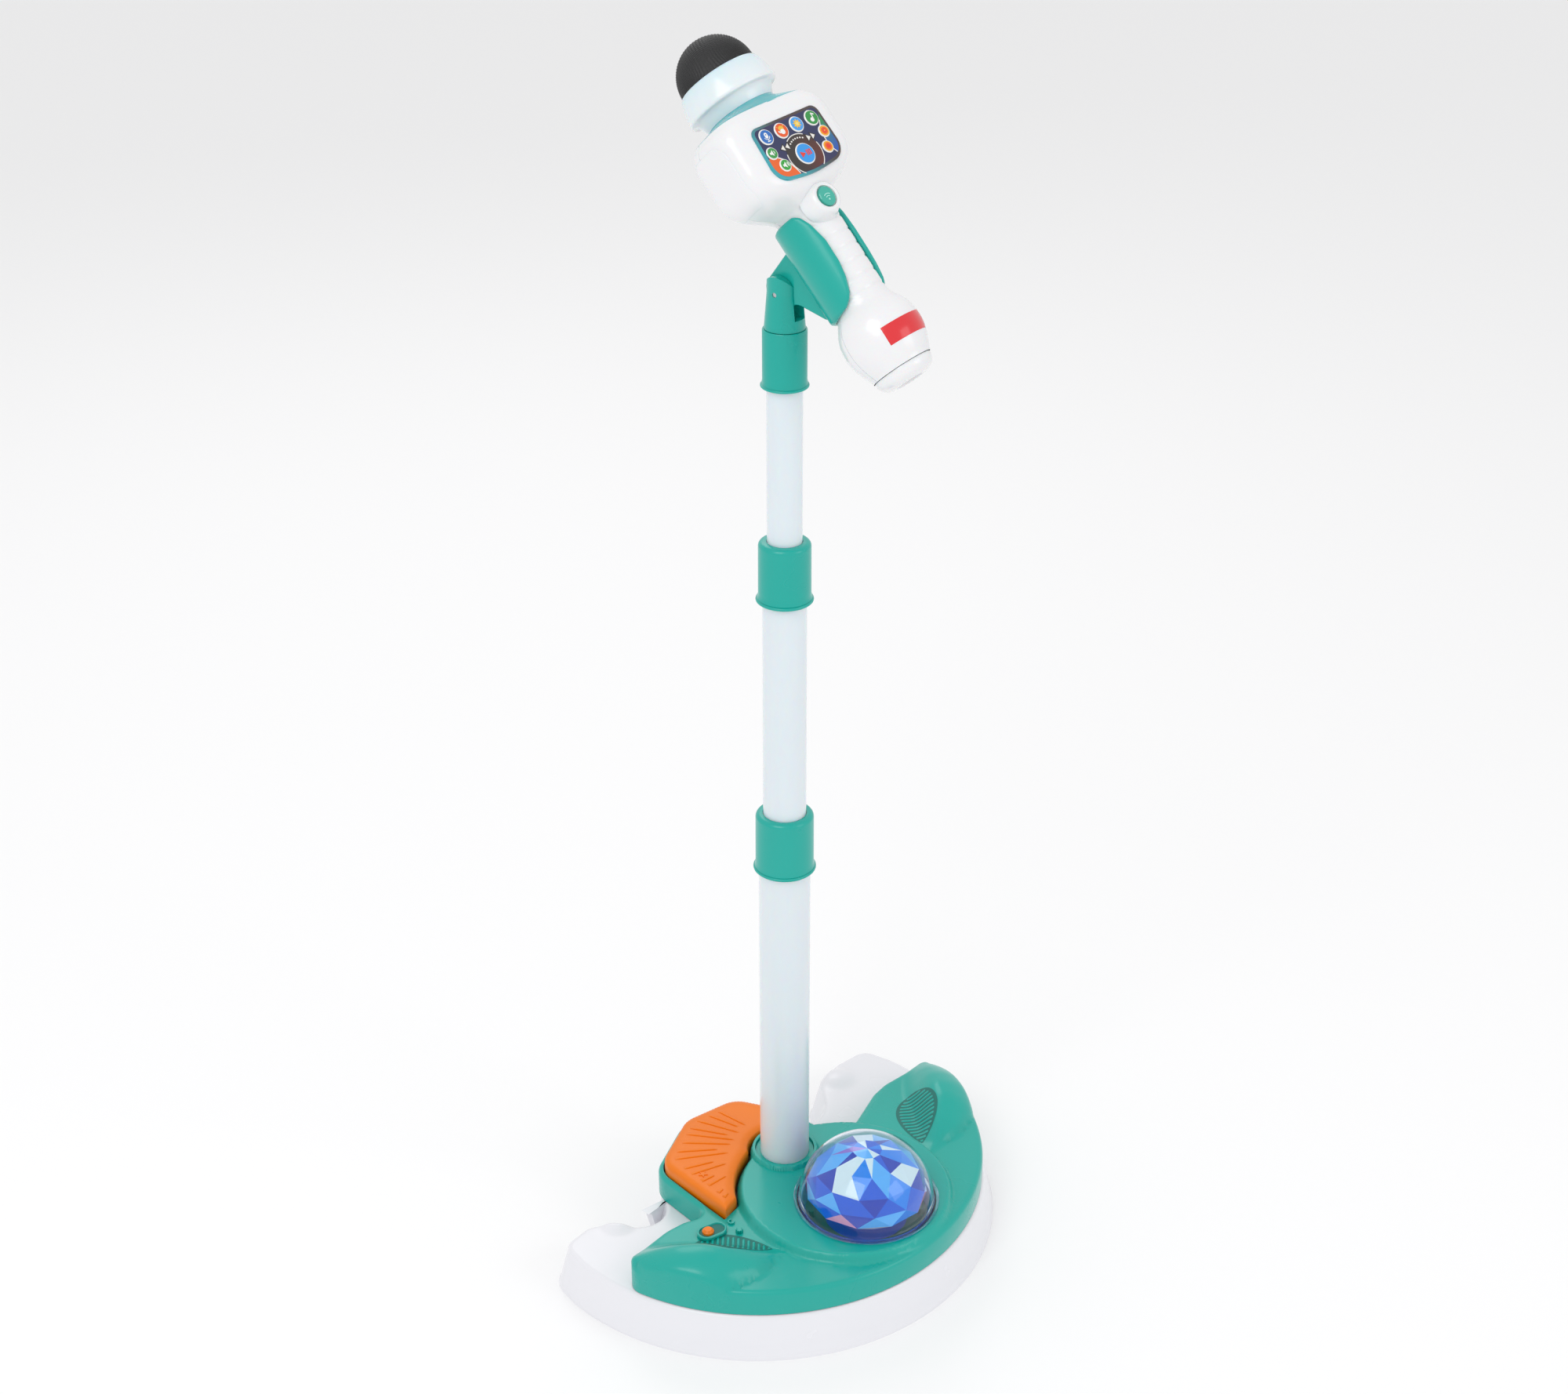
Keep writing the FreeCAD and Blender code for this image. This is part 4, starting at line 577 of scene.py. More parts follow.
level = pedal_height(spot.reshape(-1, 2)).reshape(spot.shape[:3]) + rise * np.array(
    [0.1] + [1.0] * (len(t) - 2) + [0.1])[:, None]
rays = np.concatenate([spot, level[..., None]], 3)
for i in range(len(bearings)):
    pedal_faces += lattice(len(t), len(across), start=len(pedal_points))
    pedal_points = np.vstack([pedal_points, rays[i].reshape(-1, 3)])
star, star_faces, _ = stacked([(star_path(-61, 20, 3.4, 1.5, 5, 0.3), 58.2, 59.7, (0, 0, 0), 0.2)])
pedal_faces += [[i + len(pedal_points) for i in face] for face in star_faces]
pedal_points = np.vstack([pedal_points, star])
pedal_skin = piece("pedal_skin", pedal_points, pedal_faces, orange, "pedal", sharp=45, closed=False)
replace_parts(pedal_skin, "foot_pedal")

# ---------------------------------------------------------------- light projector
# A clear dome pressed into the plateau over a faceted crystal, which turns in a blue tub and throws
# spots of light round the room. Its glow is painted: the facets emit their own colours, and the white and
# pink facets, the white ones most often on the crown, are painted glare of the lamps below.


def turned(name, profile, finish, body, centre=(0, 0), turns=96, sharp=35, place=None):
    """Surface of revolution: each (radius, height) of the closed profile is carried round the Z line
    through centre, so x = r cos t, y = r sin t."""
    profile = np.array(profile, float)
    t = np.linspace(0, 2 * np.pi, turns, endpoint=False)
    grid = np.stack([centre[0] + profile[:, :1] * np.cos(t), centre[1] + profile[:, :1] * np.sin(t),
                     np.broadcast_to(profile[:, 1:], (len(profile), turns))], -1)
    points = grid.reshape(-1, 3)
    if place is not None:
        points = place(points)
    return piece(name, points, lattice(len(profile), turns, round_rows=True), finish, body, sharp)


rise = np.radians(np.linspace(4, 90, 22))
dome_wall = [(46 * math.cos(a), 58 + 44 * math.sin(a)) for a in rise]
dome_inside = [(44.6 * math.cos(a), 58 + 42.6 * math.sin(a)) for a in rise[::-1]]
clear = moulded("clear_dome", (0.80, 0.90, 1.0), 0.03, 0.0, 0.0, Transmission_Weight=1.0, IOR=1.18,
                Coat_Weight=0.6, Coat_Roughness=0.03)
dome_skin = turned("dome_skin", [(44.6, 56.2), (49.0, 56.2), (49.5, 56.8), (49.3, 57.6), (48.3, 58.0),
                                 (46.6, 58.1), *dome_wall, *dome_inside], clear, "base", (0, -76), 128)
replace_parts(dome_skin, "dome_cover")

facet_rows = np.array([(34, 56.8), (41, 62.5), (40.5, 71), (35, 81), (24, 91), (10, 96.5), (0, 97.5)], float)
facet_count = 11
turn = ((np.arange(facet_count)[None] + 0.5 * (np.arange(len(facet_rows)) % 2)[:, None])
        * 2 * np.pi / facet_count)
crystal = np.stack([facet_rows[:, :1] * np.cos(turn), facet_rows[:, :1] * np.sin(turn) - 76,
                    np.broadcast_to(facet_rows[:, 1:], turn.shape)], -1).reshape(-1, 3)
r, c = np.meshgrid(np.arange(len(facet_rows) - 1), np.arange(facet_count), indexing="ij")
lean = (r % 2).ravel()
a, b = (r * facet_count + c).ravel(), (r * facet_count + (c + 1) % facet_count).ravel()
e, g = a + facet_count, b + facet_count
first = np.where(lean[:, None] == 0, np.stack([a, b, e], 1), np.stack([a, b, g], 1))
second = np.where(lean[:, None] == 0, np.stack([b, g, e], 1), np.stack([a, g, e], 1))
corners = np.concatenate([first, second])
corners = corners.tolist() + [list(range(facet_count))]
flat_points = np.concatenate([crystal[face] for face in corners])
starts = np.cumsum([0] + [len(face) for face in corners])
flat_faces = [list(range(low, high)) for low, high in zip(starts[:-1], starts[1:])]
dice = np.random.default_rng(7)
# Facet colours: the blues and the violet are the crystal's tint; the white and the pink are painted glare,
# the white most likely on the crown.
tint_and_glare_palette = np.array([(0.002, 0.03, 0.40), (0.004, 0.10, 0.62), (0.01, 0.24, 0.78), (0.10, 0.45, 0.85),
                   (0.80, 0.86, 0.80), (0.30, 0.14, 0.55), (0.85, 0.35, 0.50)])
facet_height = np.array([crystal[face][:, 2].mean() for face in corners])
chance = np.where(facet_height[:, None] > 84, [2, 3, 4, 4, 5, 1, 0.3],
                  np.where(facet_height[:, None] > 66, [6, 6, 4, 1.0, 0.2, 0.9, 0.1],
                           [3, 4, 4, 2, 2, 0.5, 0.9]))
chance = np.cumsum(chance / chance.sum(1)[:, None], 1)
pick = (dice.random(len(corners))[:, None] > chance).sum(1)
facet_tint_and_glare = np.repeat(tint_and_glare_palette[np.clip(pick, 0, 6)], [len(face) for face in corners], axis=0)
crystal_painted_glow = bpy.data.materials.new("crystal_painted_glow")
crystal_painted_glow.use_nodes = True
tree = crystal_painted_glow.node_tree
shader = tree.nodes["Principled BSDF"]
hue = tree.nodes.new("ShaderNodeAttribute")
hue.attribute_name = "print"
tree.links.new(hue.outputs["Color"], shader.inputs["Base Color"])
tree.links.new(hue.outputs["Color"], shader.inputs["Emission Color"])
# Painted glow: every facet emits its own colour, standing for the lamps' light shining through the crystal.
shader.inputs["Emission Strength"].default_value = 0.28
shader.inputs["Roughness"].default_value = 0.06
shader.inputs["Coat Weight"].default_value = 0.5
mesh = bpy.data.meshes.new("crystal_facets")
mesh.from_pydata((flat_points * 0.001).tolist(), [], flat_faces)
mesh.materials.append(crystal_painted_glow)
layer = mesh.attributes.new("print", "FLOAT_COLOR", "POINT")
layer.data.foreach_set("color", np.column_stack([facet_tint_and_glare, np.ones(len(facet_tint_and_glare))]).ravel())
crystal_facets = bpy.data.objects.new("crystal_facets", mesh)
bpy.context.scene.collection.objects.link(crystal_facets)
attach(crystal_facets, "rotor")
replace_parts(crystal_facets, "crystal_rotor")
tub_blue = moulded("tub_blue", (0.02, 0.14, 0.62), 0.2, 0.1, 0.02)

# ---------------------------------------------------------------- telescopic pole
# Three milky extruded tubes, each sliding in the one below; a teal collar is pushed over the top of
# each outer tube, with a flared lip at its foot and a rounded shoulder.
milky = moulded("milky_tube", (0.80, 0.80, 0.84), 0.22, 0.02, 0.02, 300.0, Subsurface_Weight=0.3,
                Subsurface_Scale=0.01, Coat_Weight=0.2, Coat_Roughness=0.1)


def tube(name, outside, wall, low, high, body):
    made = turned(name, [(outside - wall, low), (outside - 0.4, low), (outside, low + 0.4),
                         (outside, high - 0.6), (outside - 0.6, high), (outside - wall, high)], milky, body)
    return made


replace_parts(tube("lower_tube_skin", 17, 1.7, 8, 322, "base"), "lower_tube")
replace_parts(tube("middle_tube_skin", 14, 1.6, 215, 515, "middle"), "middle_tube")
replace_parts(tube("upper_tube_skin", 11, 1.5, 395, 651, "upper"), "upper_tube")


def collar(name, bore, inner, outside, lip, low, seat, high, body):
    """Collar profile: flared lip at the foot with a round edge, straight side, quarter-round shoulder."""
    turn = np.radians(np.linspace(0, 90, 7))
    shoulder = [(outside - 3.2 + 3.2 * math.cos(a), high - 3.2 + 3.2 * math.sin(a)) for a in turn]
    foot = [(lip - 1.1 + 1.1 * math.cos(a), low + 1.1 + 1.1 * math.sin(a)) for a in turn * 2 - math.pi / 2]
    flare = [(lip - 0.9, low + 2.6), (outside + 0.5, low + 3.6), (outside + 0.1, low + 5.2)]
    made = turned(name, [(bore, low), *foot, *flare, *shoulder, (inner, high), (inner, seat), (bore, seat)],
                  teal, body)
    return made


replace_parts(collar("lower_collar_skin", 17.0, 14.3, 19.0, 20.6, 288, 322, 329.5, "base"), "lower_collar")
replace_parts(collar("middle_collar_skin", 14.0, 11.3, 16.5, 18.2, 481, 515, 521, "middle"), "middle_collar")

# Socket glued on the top of the mast; the fork turns on the spigot above it.
turn = np.radians(np.linspace(-90, 90, 9))
socket_foot = [(13.9 + 0.9 * math.cos(a), 621.9 + 0.9 * math.sin(a)) for a in turn]
mast_socket_skin = turned("mast_socket_skin", [
    (11, 621), *socket_foot, (13.9, 623.6), (13.5, 625.5), (13.5, 656.3), (13.1, 657), (6, 657),
    (6, 664), (0, 664), (0, 651), (11, 651)], teal, "upper")
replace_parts(mast_socket_skin, "mast_socket")

# ---------------------------------------------------------------- microphone clip
# A springy teal sleeve open at the front, whose arms reach round the handle, on a web that ends in
# the boss of the tilt pin.
swivel, tilt, twist = math.radians(7), math.radians(41.5), math.radians(10)
pin = np.array([0, 0, 679.5])
sideways = np.array([math.cos(swivel), math.sin(swivel), 0])
front = np.array([math.sin(swivel), -math.cos(swivel), 0])
outward = front * math.cos(tilt) + np.array([0, 0, 1]) * math.sin(tilt)
along = -front * math.sin(tilt) + np.array([0, 0, 1]) * math.cos(tilt)
axis_foot = pin + outward * 42.2


def on_clip(points):
    """From across, outward and along the handle's axis, in mm, to the frame of the stand."""
    return axis_foot + points[:, :1] * sideways + points[:, 1:2] * outward + points[:, 2:] * along


s = np.linspace(-36, 26, 64)
reach = np.radians(np.interp(s, [-36, -33, -30, -27, -18, -9, 5, 17, 23, 26],
                             [60, 98, 110, 117, 126, 130, 130, 122, 113, 104]))
ends = np.minimum(1, np.sqrt(np.clip((np.minimum(s + 36, 26 - s) + 0.12) / 1.6, 0, 1)))
outer, inner, lip = np.linspace(-1, 1, 60), np.linspace(1, -1, 60), np.linspace(0, np.pi, 7)[1:-1]
middle_r, half_wall = 18.95, 1.6 * ends
swell = 0.7 * (1 - np.abs(outer) ** 3)
loop_turn = np.concatenate([outer, np.full(5, 1.0), inner, np.full(5, -1.0)])
loop_rise = np.concatenate([np.ones(60), np.cos(lip), -np.ones(60), -np.cos(lip)])
loop_out = np.concatenate([np.zeros(60), np.sin(lip), np.zeros(60), -np.sin(lip)])
angle = -np.pi / 2 + loop_turn * reach[:, None] + loop_out * half_wall[:, None] / middle_r
radius = middle_r + loop_rise * half_wall[:, None] + np.concatenate([swell, np.zeros(70)]) * ends[:, None]
sleeve = np.stack([radius * np.cos(angle), radius * np.sin(angle),
                   np.broadcast_to(s[:, None], radius.shape)], -1).reshape(-1, 3)
clip_faces = lattice(len(s), radius.shape[1])
clip_faces += [list(range(radius.shape[1])), list(range(len(sleeve) - radius.shape[1], len(sleeve)))]
web = rounded_path([(16.5, 17, 0), (50.9, 9.6, 8.0), (50.9, -9.6, 8.0), (37, -10.5, 10), (25, -29, 5),
                    (16.5, -35, 0)], step=1.0)
for ring_wide, ring_in in ((-4.5, 0.7), (-4.0, 0.15), (-3.4, 0), (3.4, 0), (4.0, 0.15), (4.5, 0.7)):
    ring = set_in(web, ring_in)
    sleeve = np.vstack([sleeve, np.column_stack([np.full(len(ring), ring_wide), -ring[:, 0], ring[:, 1]])])
start = len(sleeve) - 6 * len(web)
clip_faces += lattice(6, len(web), start=start)
clip_faces += [list(range(start, start + len(web))), list(range(len(sleeve) - len(web), len(sleeve)))]
clip_skin = piece("clip_skin", on_clip(sleeve), clip_faces, teal, "clip", sharp=38)
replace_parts(clip_skin, "mic_clip")

# ---------------------------------------------------------------- microphone body
# Glossy white front and rear shells, screwed together along a seam, that swell from a bulb at the foot
# through a ribbed handle to a wide head. A post on the neck carries the mode button.
across_mic = sideways * math.cos(twist) + outward * math.sin(twist)
out_of_mic = -sideways * math.sin(twist) + outward * math.cos(twist)


def on_mic(points):
    """From across, outward from the keypad and along the microphone's axis, in mm, to the frame."""
    return axis_foot + points[:, :1] * across_mic + points[:, 1:2] * out_of_mic + points[:, 2:] * along


white = moulded("white_plastic", (0.84, 0.84, 0.855), 0.22, 0.02, 0.03, 1200.0, Subsurface_Weight=0.12,
                Subsurface_Scale=0.006, Coat_Weight=0.35, Coat_Roughness=0.12)
stations = np.array([
    (-77, 18.6, 18.6, 18.6, 2), (-74, 20.2, 20.2, 20.2, 2), (-68, 22.8, 22.8, 22.8, 2),
    (-62, 24.6, 24.6, 24.6, 2), (-57, 25, 25, 25, 2), (-50, 24.4, 24.4, 24.4, 2),
    (-45, 22.9, 22.9, 22.9, 2), (-40, 20, 20, 20, 2), (-36, 17.3, 17.3, 17.3, 2), (-33, 17, 17, 17, 2),
    (26, 17, 17, 17, 2), (30, 18.5, 17.8, 17, 2), (34, 27.6, 22.5, 17, 2.5), (38, 35, 25, 17.8, 3.1),
    (42.4, 39.2, 26.4, 18.5, 3.7), (48, 41.3, 26.9, 18.9, 4.5), (53.2, 42, 27, 19, 5), (76, 42, 27, 19, 5),
    (80, 41.5, 26.8, 19, 4.6), (83.8, 39.9, 26.2, 19, 4.2), (86.5, 37.4, 25.2, 19, 3.8),
    (88, 35.3, 24.3, 19, 3.6)])


def section_sizes(level):
    """Half width, front and rear depth and squareness of the section at each level along the axis,
    eased over a few millimetres; the ribs of the handle are shallow bells cut into it."""
    spread = np.linspace(-2.4, 2.4, 9)
    near = np.clip(level[:, None] + spread, -77, 88)
    sizes = np.stack([np.interp(near, stations[:, 0], stations[:, i]).mean(1) for i in range(1, 5)], 1)
    rib = np.exp(-((level[:, None] - np.arange(-30, 16, 9)) / 0.9) ** 2).sum(1)
    sizes[:, :3] -= 0.5 * rib[:, None]
    return sizes


def shell_rows(level, front_side, seam=-4.0, count=110):
    """Points of one shell, one row per level. The section is |u/a|^n + |v/b|^n = 1, with b the front
    or the rear depth; the shell runs between its two edges at v = seam, which turn in by half a
    millimetre."""
    half, fore, rear, power = section_sizes(level).T[:, :, None]
    edge = -np.arcsin(np.clip(-seam / rear, 0, 1) ** (power / 2))
    t = np.linspace(0, 1, count)[None]
    turn = edge + (np.pi - 2 * edge) * t if front_side else np.pi - edge + (np.pi + 2 * edge) * t
    c, s = np.cos(turn), np.sin(turn)
    u = half * np.sign(c) * np.abs(c) ** (2 / power)
    v = np.where(s > 0, fore, rear) * np.sign(s) * np.abs(s) ** (2 / power)
    tuck = 0.22 if front_side else -0.22
    v[:, 0] += tuck
    v[:, -1] += tuck
    grid = np.stack([u, v], -1)
    turned_in = grid[:, [0, -1]] * (0.96, 1) - (0, tuck)
    grid = np.concatenate([turned_in[:, :1], grid, turned_in[:, 1:]], 1)
    return np.concatenate([grid, np.broadcast_to(level[:, None, None], (*grid.shape[:2], 1))], 2)


level = np.concatenate([np.arange(-77, 28, 0.75), np.arange(28, 88.3, 0.6)])
for name, front_side, node in (("front_shell_skin", True, "mic_front_shell"),
                               ("rear_shell_skin", False, "mic_rear_shell")):
    rows = shell_rows(level, front_side)
    made = piece(name, on_mic(rows.reshape(-1, 3)), lattice(*rows.shape[:2], round_cols=False), white,
                 "microphone", sharp=40, closed=False)
    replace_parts(made, node)


def on_neck(points):
    """From a round post's own plan (across, along) and height outward, to the frame."""
    return on_mic(points[:, [0, 2, 1]] + (0, 0, 25.5))


mode_post = turned("mode_post", [
    (13, 14), (11.6, 17.4), (10.4, 20.4), (9.6, 22.6), (9.1, 23.5), (8.3, 24.0), (7.4, 24.0), (6.7, 23.7),
    (6.5, 22.4), (0, 22.2)], white, "microphone", turns=72, sharp=30, place=on_neck)

# Cheek covers: a thin leaf let into each side of the head, proud of it by a hair.
cheek_path = rounded_path([(-15.5, 38, 9), (-15.5, 80, 9), (17, 80, 11), (17, 38, 9)], step=1.2)


def cheek_height(p):
    """Distance out from the axis of the head's side at outward p[0] and along p[1], plus 0.3."""
    half, fore, rear, power = section_sizes(p[:, 1]).T
    share = np.abs(p[:, 0]) / np.where(p[:, 0] > 0, fore, rear)
    return half * (1 - np.clip(share, 0, 1) ** power) ** (1 / power) + 0.3


cheek_rows = [(-0.1, below_top(0.9)), (0.0, below_top(0.35)), (0.15, below_top(0.1)), (0.5, below_top(0.0))]
cheek_points, cheek_faces = skin_over(cheek_path, cheek_rows, cheek_height, 1.5)
for side, name in ((-1, "left"), (1, "right")):
    spot = np.stack([side * cheek_points[:, 2], cheek_points[:, 0], cheek_points[:, 1]], 1)
    made = piece(f"cheek_{name}_skin", on_mic(spot), cheek_faces, white, "microphone", sharp=60,
                 closed=False)
    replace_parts(made, f"side_cover_{name}")

# End cap of the handle, pushed into the bulb, with a shallow round recess in its end.


end_cap_skin = turned("end_cap_skin", [
    (0, -77.2), (18.3, -77.2), (18.4, -77.6), (18.3, -79.3), (17.8, -81.2), (16.6, -83), (14.6, -84.6),
    (11.8, -85.7), (8.7, -86), (8.1, -85.7), (8, -84.7), (0, -84.6)], white, "microphone", place=on_mic)
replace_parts(end_cap_skin, "end_cap")

# ---------------------------------------------------------------- prints
# Glossy print on plastic: the colour comes from the points themselves.


def printed(name, roughness):
    finish = moulded(name, (1, 1, 1), roughness, 0.0, 0.02, 1200.0, Coat_Weight=0.5, Coat_Roughness=0.08)
    tree = finish.node_tree
    hue = tree.nodes.new("ShaderNodeAttribute")
    hue.attribute_name = "print"
    skin = [node for node in tree.nodes if node.type == "GROUP"][0]
    tree.links.new(hue.outputs["Color"], skin.inputs["Color"])
    return finish


key_print = printed("printed_plastic", 0.22)

# Plain red label stuck round the front of the bulb.
angle = np.radians(np.linspace(50, 130, 60))
level = np.concatenate([[-65.5], np.linspace(-65.4, -54.1, 20), [-54]])
sizes = section_sizes(level)[:, 0]
lift = np.full((len(level), len(angle)), 0.12)
lift[[0, -1]] = lift[:, [0, -1]] = -0.3
ring = sizes[:, None] + lift
label = np.stack([ring * np.cos(angle), ring * np.sin(angle), np.broadcast_to(level[:, None], ring.shape)],
                 -1)
red_paint = moulded("red_label", (0.72, 0.012, 0.02), 0.25, 0.03, 0.02, Coat_Weight=0.5, Coat_Roughness=0.1)
label_skin = piece("label_skin", on_mic(label.reshape(-1, 3)), lattice(*ring.shape, round_cols=False),
                   red_paint, "microphone", sharp=60, closed=False)

# ---------------------------------------------------------------- keypad
# Printed plate let into the head, with a hole for every key and thin raised ink: a turntable round
# the play key, skip marks, an orange field lower left and a green and blue field right.
key_places = {
    "key_song": (-18.5, 68.8, 4.9), "key_clap": (-6.2, 68.8, 4.9), "key_star": (6.2, 68.8, 4.9),
    "key_note": (18.5, 68.8, 4.9), "key_quieter": (-21.3, 59, 3.9), "key_louder": (-17.5, 50, 3.9),
    "key_drum": (21.3, 59, 3.9), "key_horn": (17.5, 50, 3.9), "key_play": (0, 51.5, 6.6)}
plate_path = rounded_path([(-28, 42.5, 11), (-26.5, 76, 5), (26.5, 76, 5), (28, 42.5, 11), (0, 39.2, 90)],
                          step=0.7)


def on_plate(points):
    return on_mic(points[:, [0, 2, 1]])


def plate_height(p):
    return np.full(len(p), 27.3)


key_holes = [circle(x, y, r + 0.3, 0.7) for x, y, r in key_places.values()]
plate_rows = [(0.0, at_level(24.4)), (0.0, at_level(26.9)), (0.15, at_level(27.2)), (0.4, at_level(27.3))]
plate, plate_faces = skin_over(plate_path, plate_rows, plate_height, 1.2, holes=key_holes,
                               detail=[set_in(plate_path, 1.5)])
for hole in key_holes:
    walls = np.vstack([np.column_stack([hole, np.full(len(hole), z)]) for z in (27.3, 25.0)])
    plate_faces += lattice(2, len(hole), start=len(plate))
    plate = np.vstack([plate, walls])
brown, cool = np.array([0.055, 0.035, 0.035, 1]), np.array([0.03, 0.36, 0.42, 1])
edge_mix = ease(-plate[:, 0] + (52 - plate[:, 1]) * 0.7, -14, 26)[:, None]
plate_colours = brown + (cool - brown) * edge_mix
navy, violet = np.array([0.006, 0.016, 0.085, 1]), np.array([0.035, 0.018, 0.09, 1])
field = set_in(plate_path, 1.7)


def field_part(keep, curve):
    """The part of the field's outline that keep picks, closed by a curve."""
    hit = keep(field)
    first = int(np.argmax(hit & ~np.roll(hit, 1)))
    run = np.roll(field, -first, 0)[:int(hit.sum())]
    return np.vstack([run, curve])


orange_field = field_part(lambda p: (p[:, 0] < -10.5) & (p[:, 1] < 57), [
    (-23.5, 57.2), (-21, 56.6), (-18.5, 55.2), (-15.6, 52.8), (-13.3, 49.6), (-11.9, 46.2), (-10.8, 42.6)])
cool_field = field_part(lambda p: (p[:, 0] > 21.5) & (p[:, 1] < 70) & (p[:, 1] > 45), [
    (22.0, 45.6), (20.6, 47.6), (19.9, 50.4), (19.4, 53.6), (19.3, 57), (20.3, 61.2), (22.4, 65.6)])
turntable = circle(0, 51.5, 12.4, 0.8)
turntable[:, 1] = np.maximum(turntable[:, 1], 41.5 + 0.12 * np.abs(turntable[:, 0]))
ink, pale = (0.02, 0.014, 0.012), (0.80, 0.78, 0.74)


def mark(points):
    """A straight-sided mark, from its corners."""
    return np.array(points, float)


layers = [(field, 27.0, 27.34, (0.5, 0.5, 0.5), 0.02),
          (orange_field, 27.1, 27.40, (0.80, 0.115, 0.004), 0.02),
          (cool_field, 27.1, 27.40, (0.5, 0.5, 0.5), 0.02), (turntable, 27.1, 27.42, ink, 0.02)]
for first, last in ((60, 124), (164, 235), (-51, 17)):
    layers.append((band(0, 51.5, 12.5, 0.55, first, last), 27.2, 27.48, pale, 0.03))
for turn in np.radians(np.linspace(62, 124, 7)):
    layers.append((circle(10.1 * math.cos(turn), 51.5 + 10.1 * math.sin(turn), 0.55, 0.4), 27.2, 27.48, pale,
                   0.03))
for x in (-8.6, -12.1, 8.6, 12.1):
    tip = math.copysign(1, x)
    outer_mark = mark([(x + 2.6 * tip, 59.2), (x - 1.5 * tip, 56.4), (x - 1.5 * tip, 62.0)])
    inner_mark = mark([(x + 1.7 * tip, 59.2), (x - 0.9 * tip, 57.4), (x - 0.9 * tip, 61.0)])
    layers += [(outer_mark, 27.2, 27.47, ink, 0.03), (inner_mark, 27.3, 27.52, pale, 0.03)]
for line in ([(-23.7, 57.5), (-21, 56.9), (-18.4, 55.5), (-15.3, 53.1), (-13, 49.8), (-11.6, 46.3),
              (-10.4, 42.6),
              (-11.0, 42.4), (-12.2, 46.0), (-13.7, 49.4), (-15.9, 52.5), (-18.8, 54.9), (-21.2, 56.3),
              (-23.7, 56.9)],
             [(22.8, 66.0), (20.0, 61.3), (18.9, 57), (19.0, 53.6), (19.5, 50.2), (20.2, 47.4), (21.7, 44.9),
              (22.2, 45.2), (20.8, 47.7), (20.1, 50.4), (19.6, 53.6), (19.5, 57), (20.6, 61.0),
              (23.3, 65.7)]):
    layers.append((mark(line), 27.2, 27.46, pale, 0.02))
ink_points, ink_faces, ink_colours = stacked(layers)
x, y = ink_points[:, 0], ink_points[:, 1]
count = 3 * len(field)
ink_colours[:count] = navy + (violet - navy) * np.exp(-((x[:count] / 16) ** 2))[:, None]
low = count + 3 * len(orange_field)
high = low + 3 * len(cool_field)
share = ease(y[low:high], 52, 63)[:, None]
ink_colours[low:high] = (1 - share) * (0.012, 0.075, 0.42, 1) + share * (0.015, 0.24, 0.07, 1)
count = 3 * len(turntable)
share = ease(x[high:high + count] - (y[high:high + count] - 51.5) * 0.6, -2, 16)[:, None]
ink_colours[high:high + count] = (1 - share) * (0.022, 0.014, 0.011, 1) + share * (0.11, 0.012, 0.006, 1)
plate_faces += [[i + len(plate) for i in face] for face in ink_faces]
plate_skin = piece("keypad_skin", on_plate(np.vstack([plate, ink_points])), plate_faces, key_print,
                   "microphone", sharp=30, colours=np.vstack([plate_colours, ink_colours]))
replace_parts(plate_skin, "control_panel")

# Keys: a white rim, a coloured face and a raised picture on each, moving in the plate's holes.
cream, yellow, red = (0.86, 0.86, 0.84), (0.85, 0.50, 0.03), (0.78, 0.03, 0.01)
raised_cream = (28.0, 28.24, cream, 0.04)


def dot(x, y, radius, colour, top=28.24):
    return circle(x, y, radius, 0.35), 28.0, top, colour, 0.04


def bar(x, y, straight, radius, turn, colour, top=28.24):
    return stadium(x, y, straight, radius, turn, 0.3), 28.0, top, colour, 0.04


def speaker_picture(waves):
    shapes = [(mark([(-2.0, -0.7), (-2.0, 0.7), (-1.0, 0.7), (0.3, 1.9), (0.3, -1.9), (-1.0, -0.7)]),
               *raised_cream)]
    for radius in (1.3, 2.1)[:waves]:
        shapes.append((band(0.1, 0, radius, 0.45, -42, 42), *raised_cream))
    return shapes


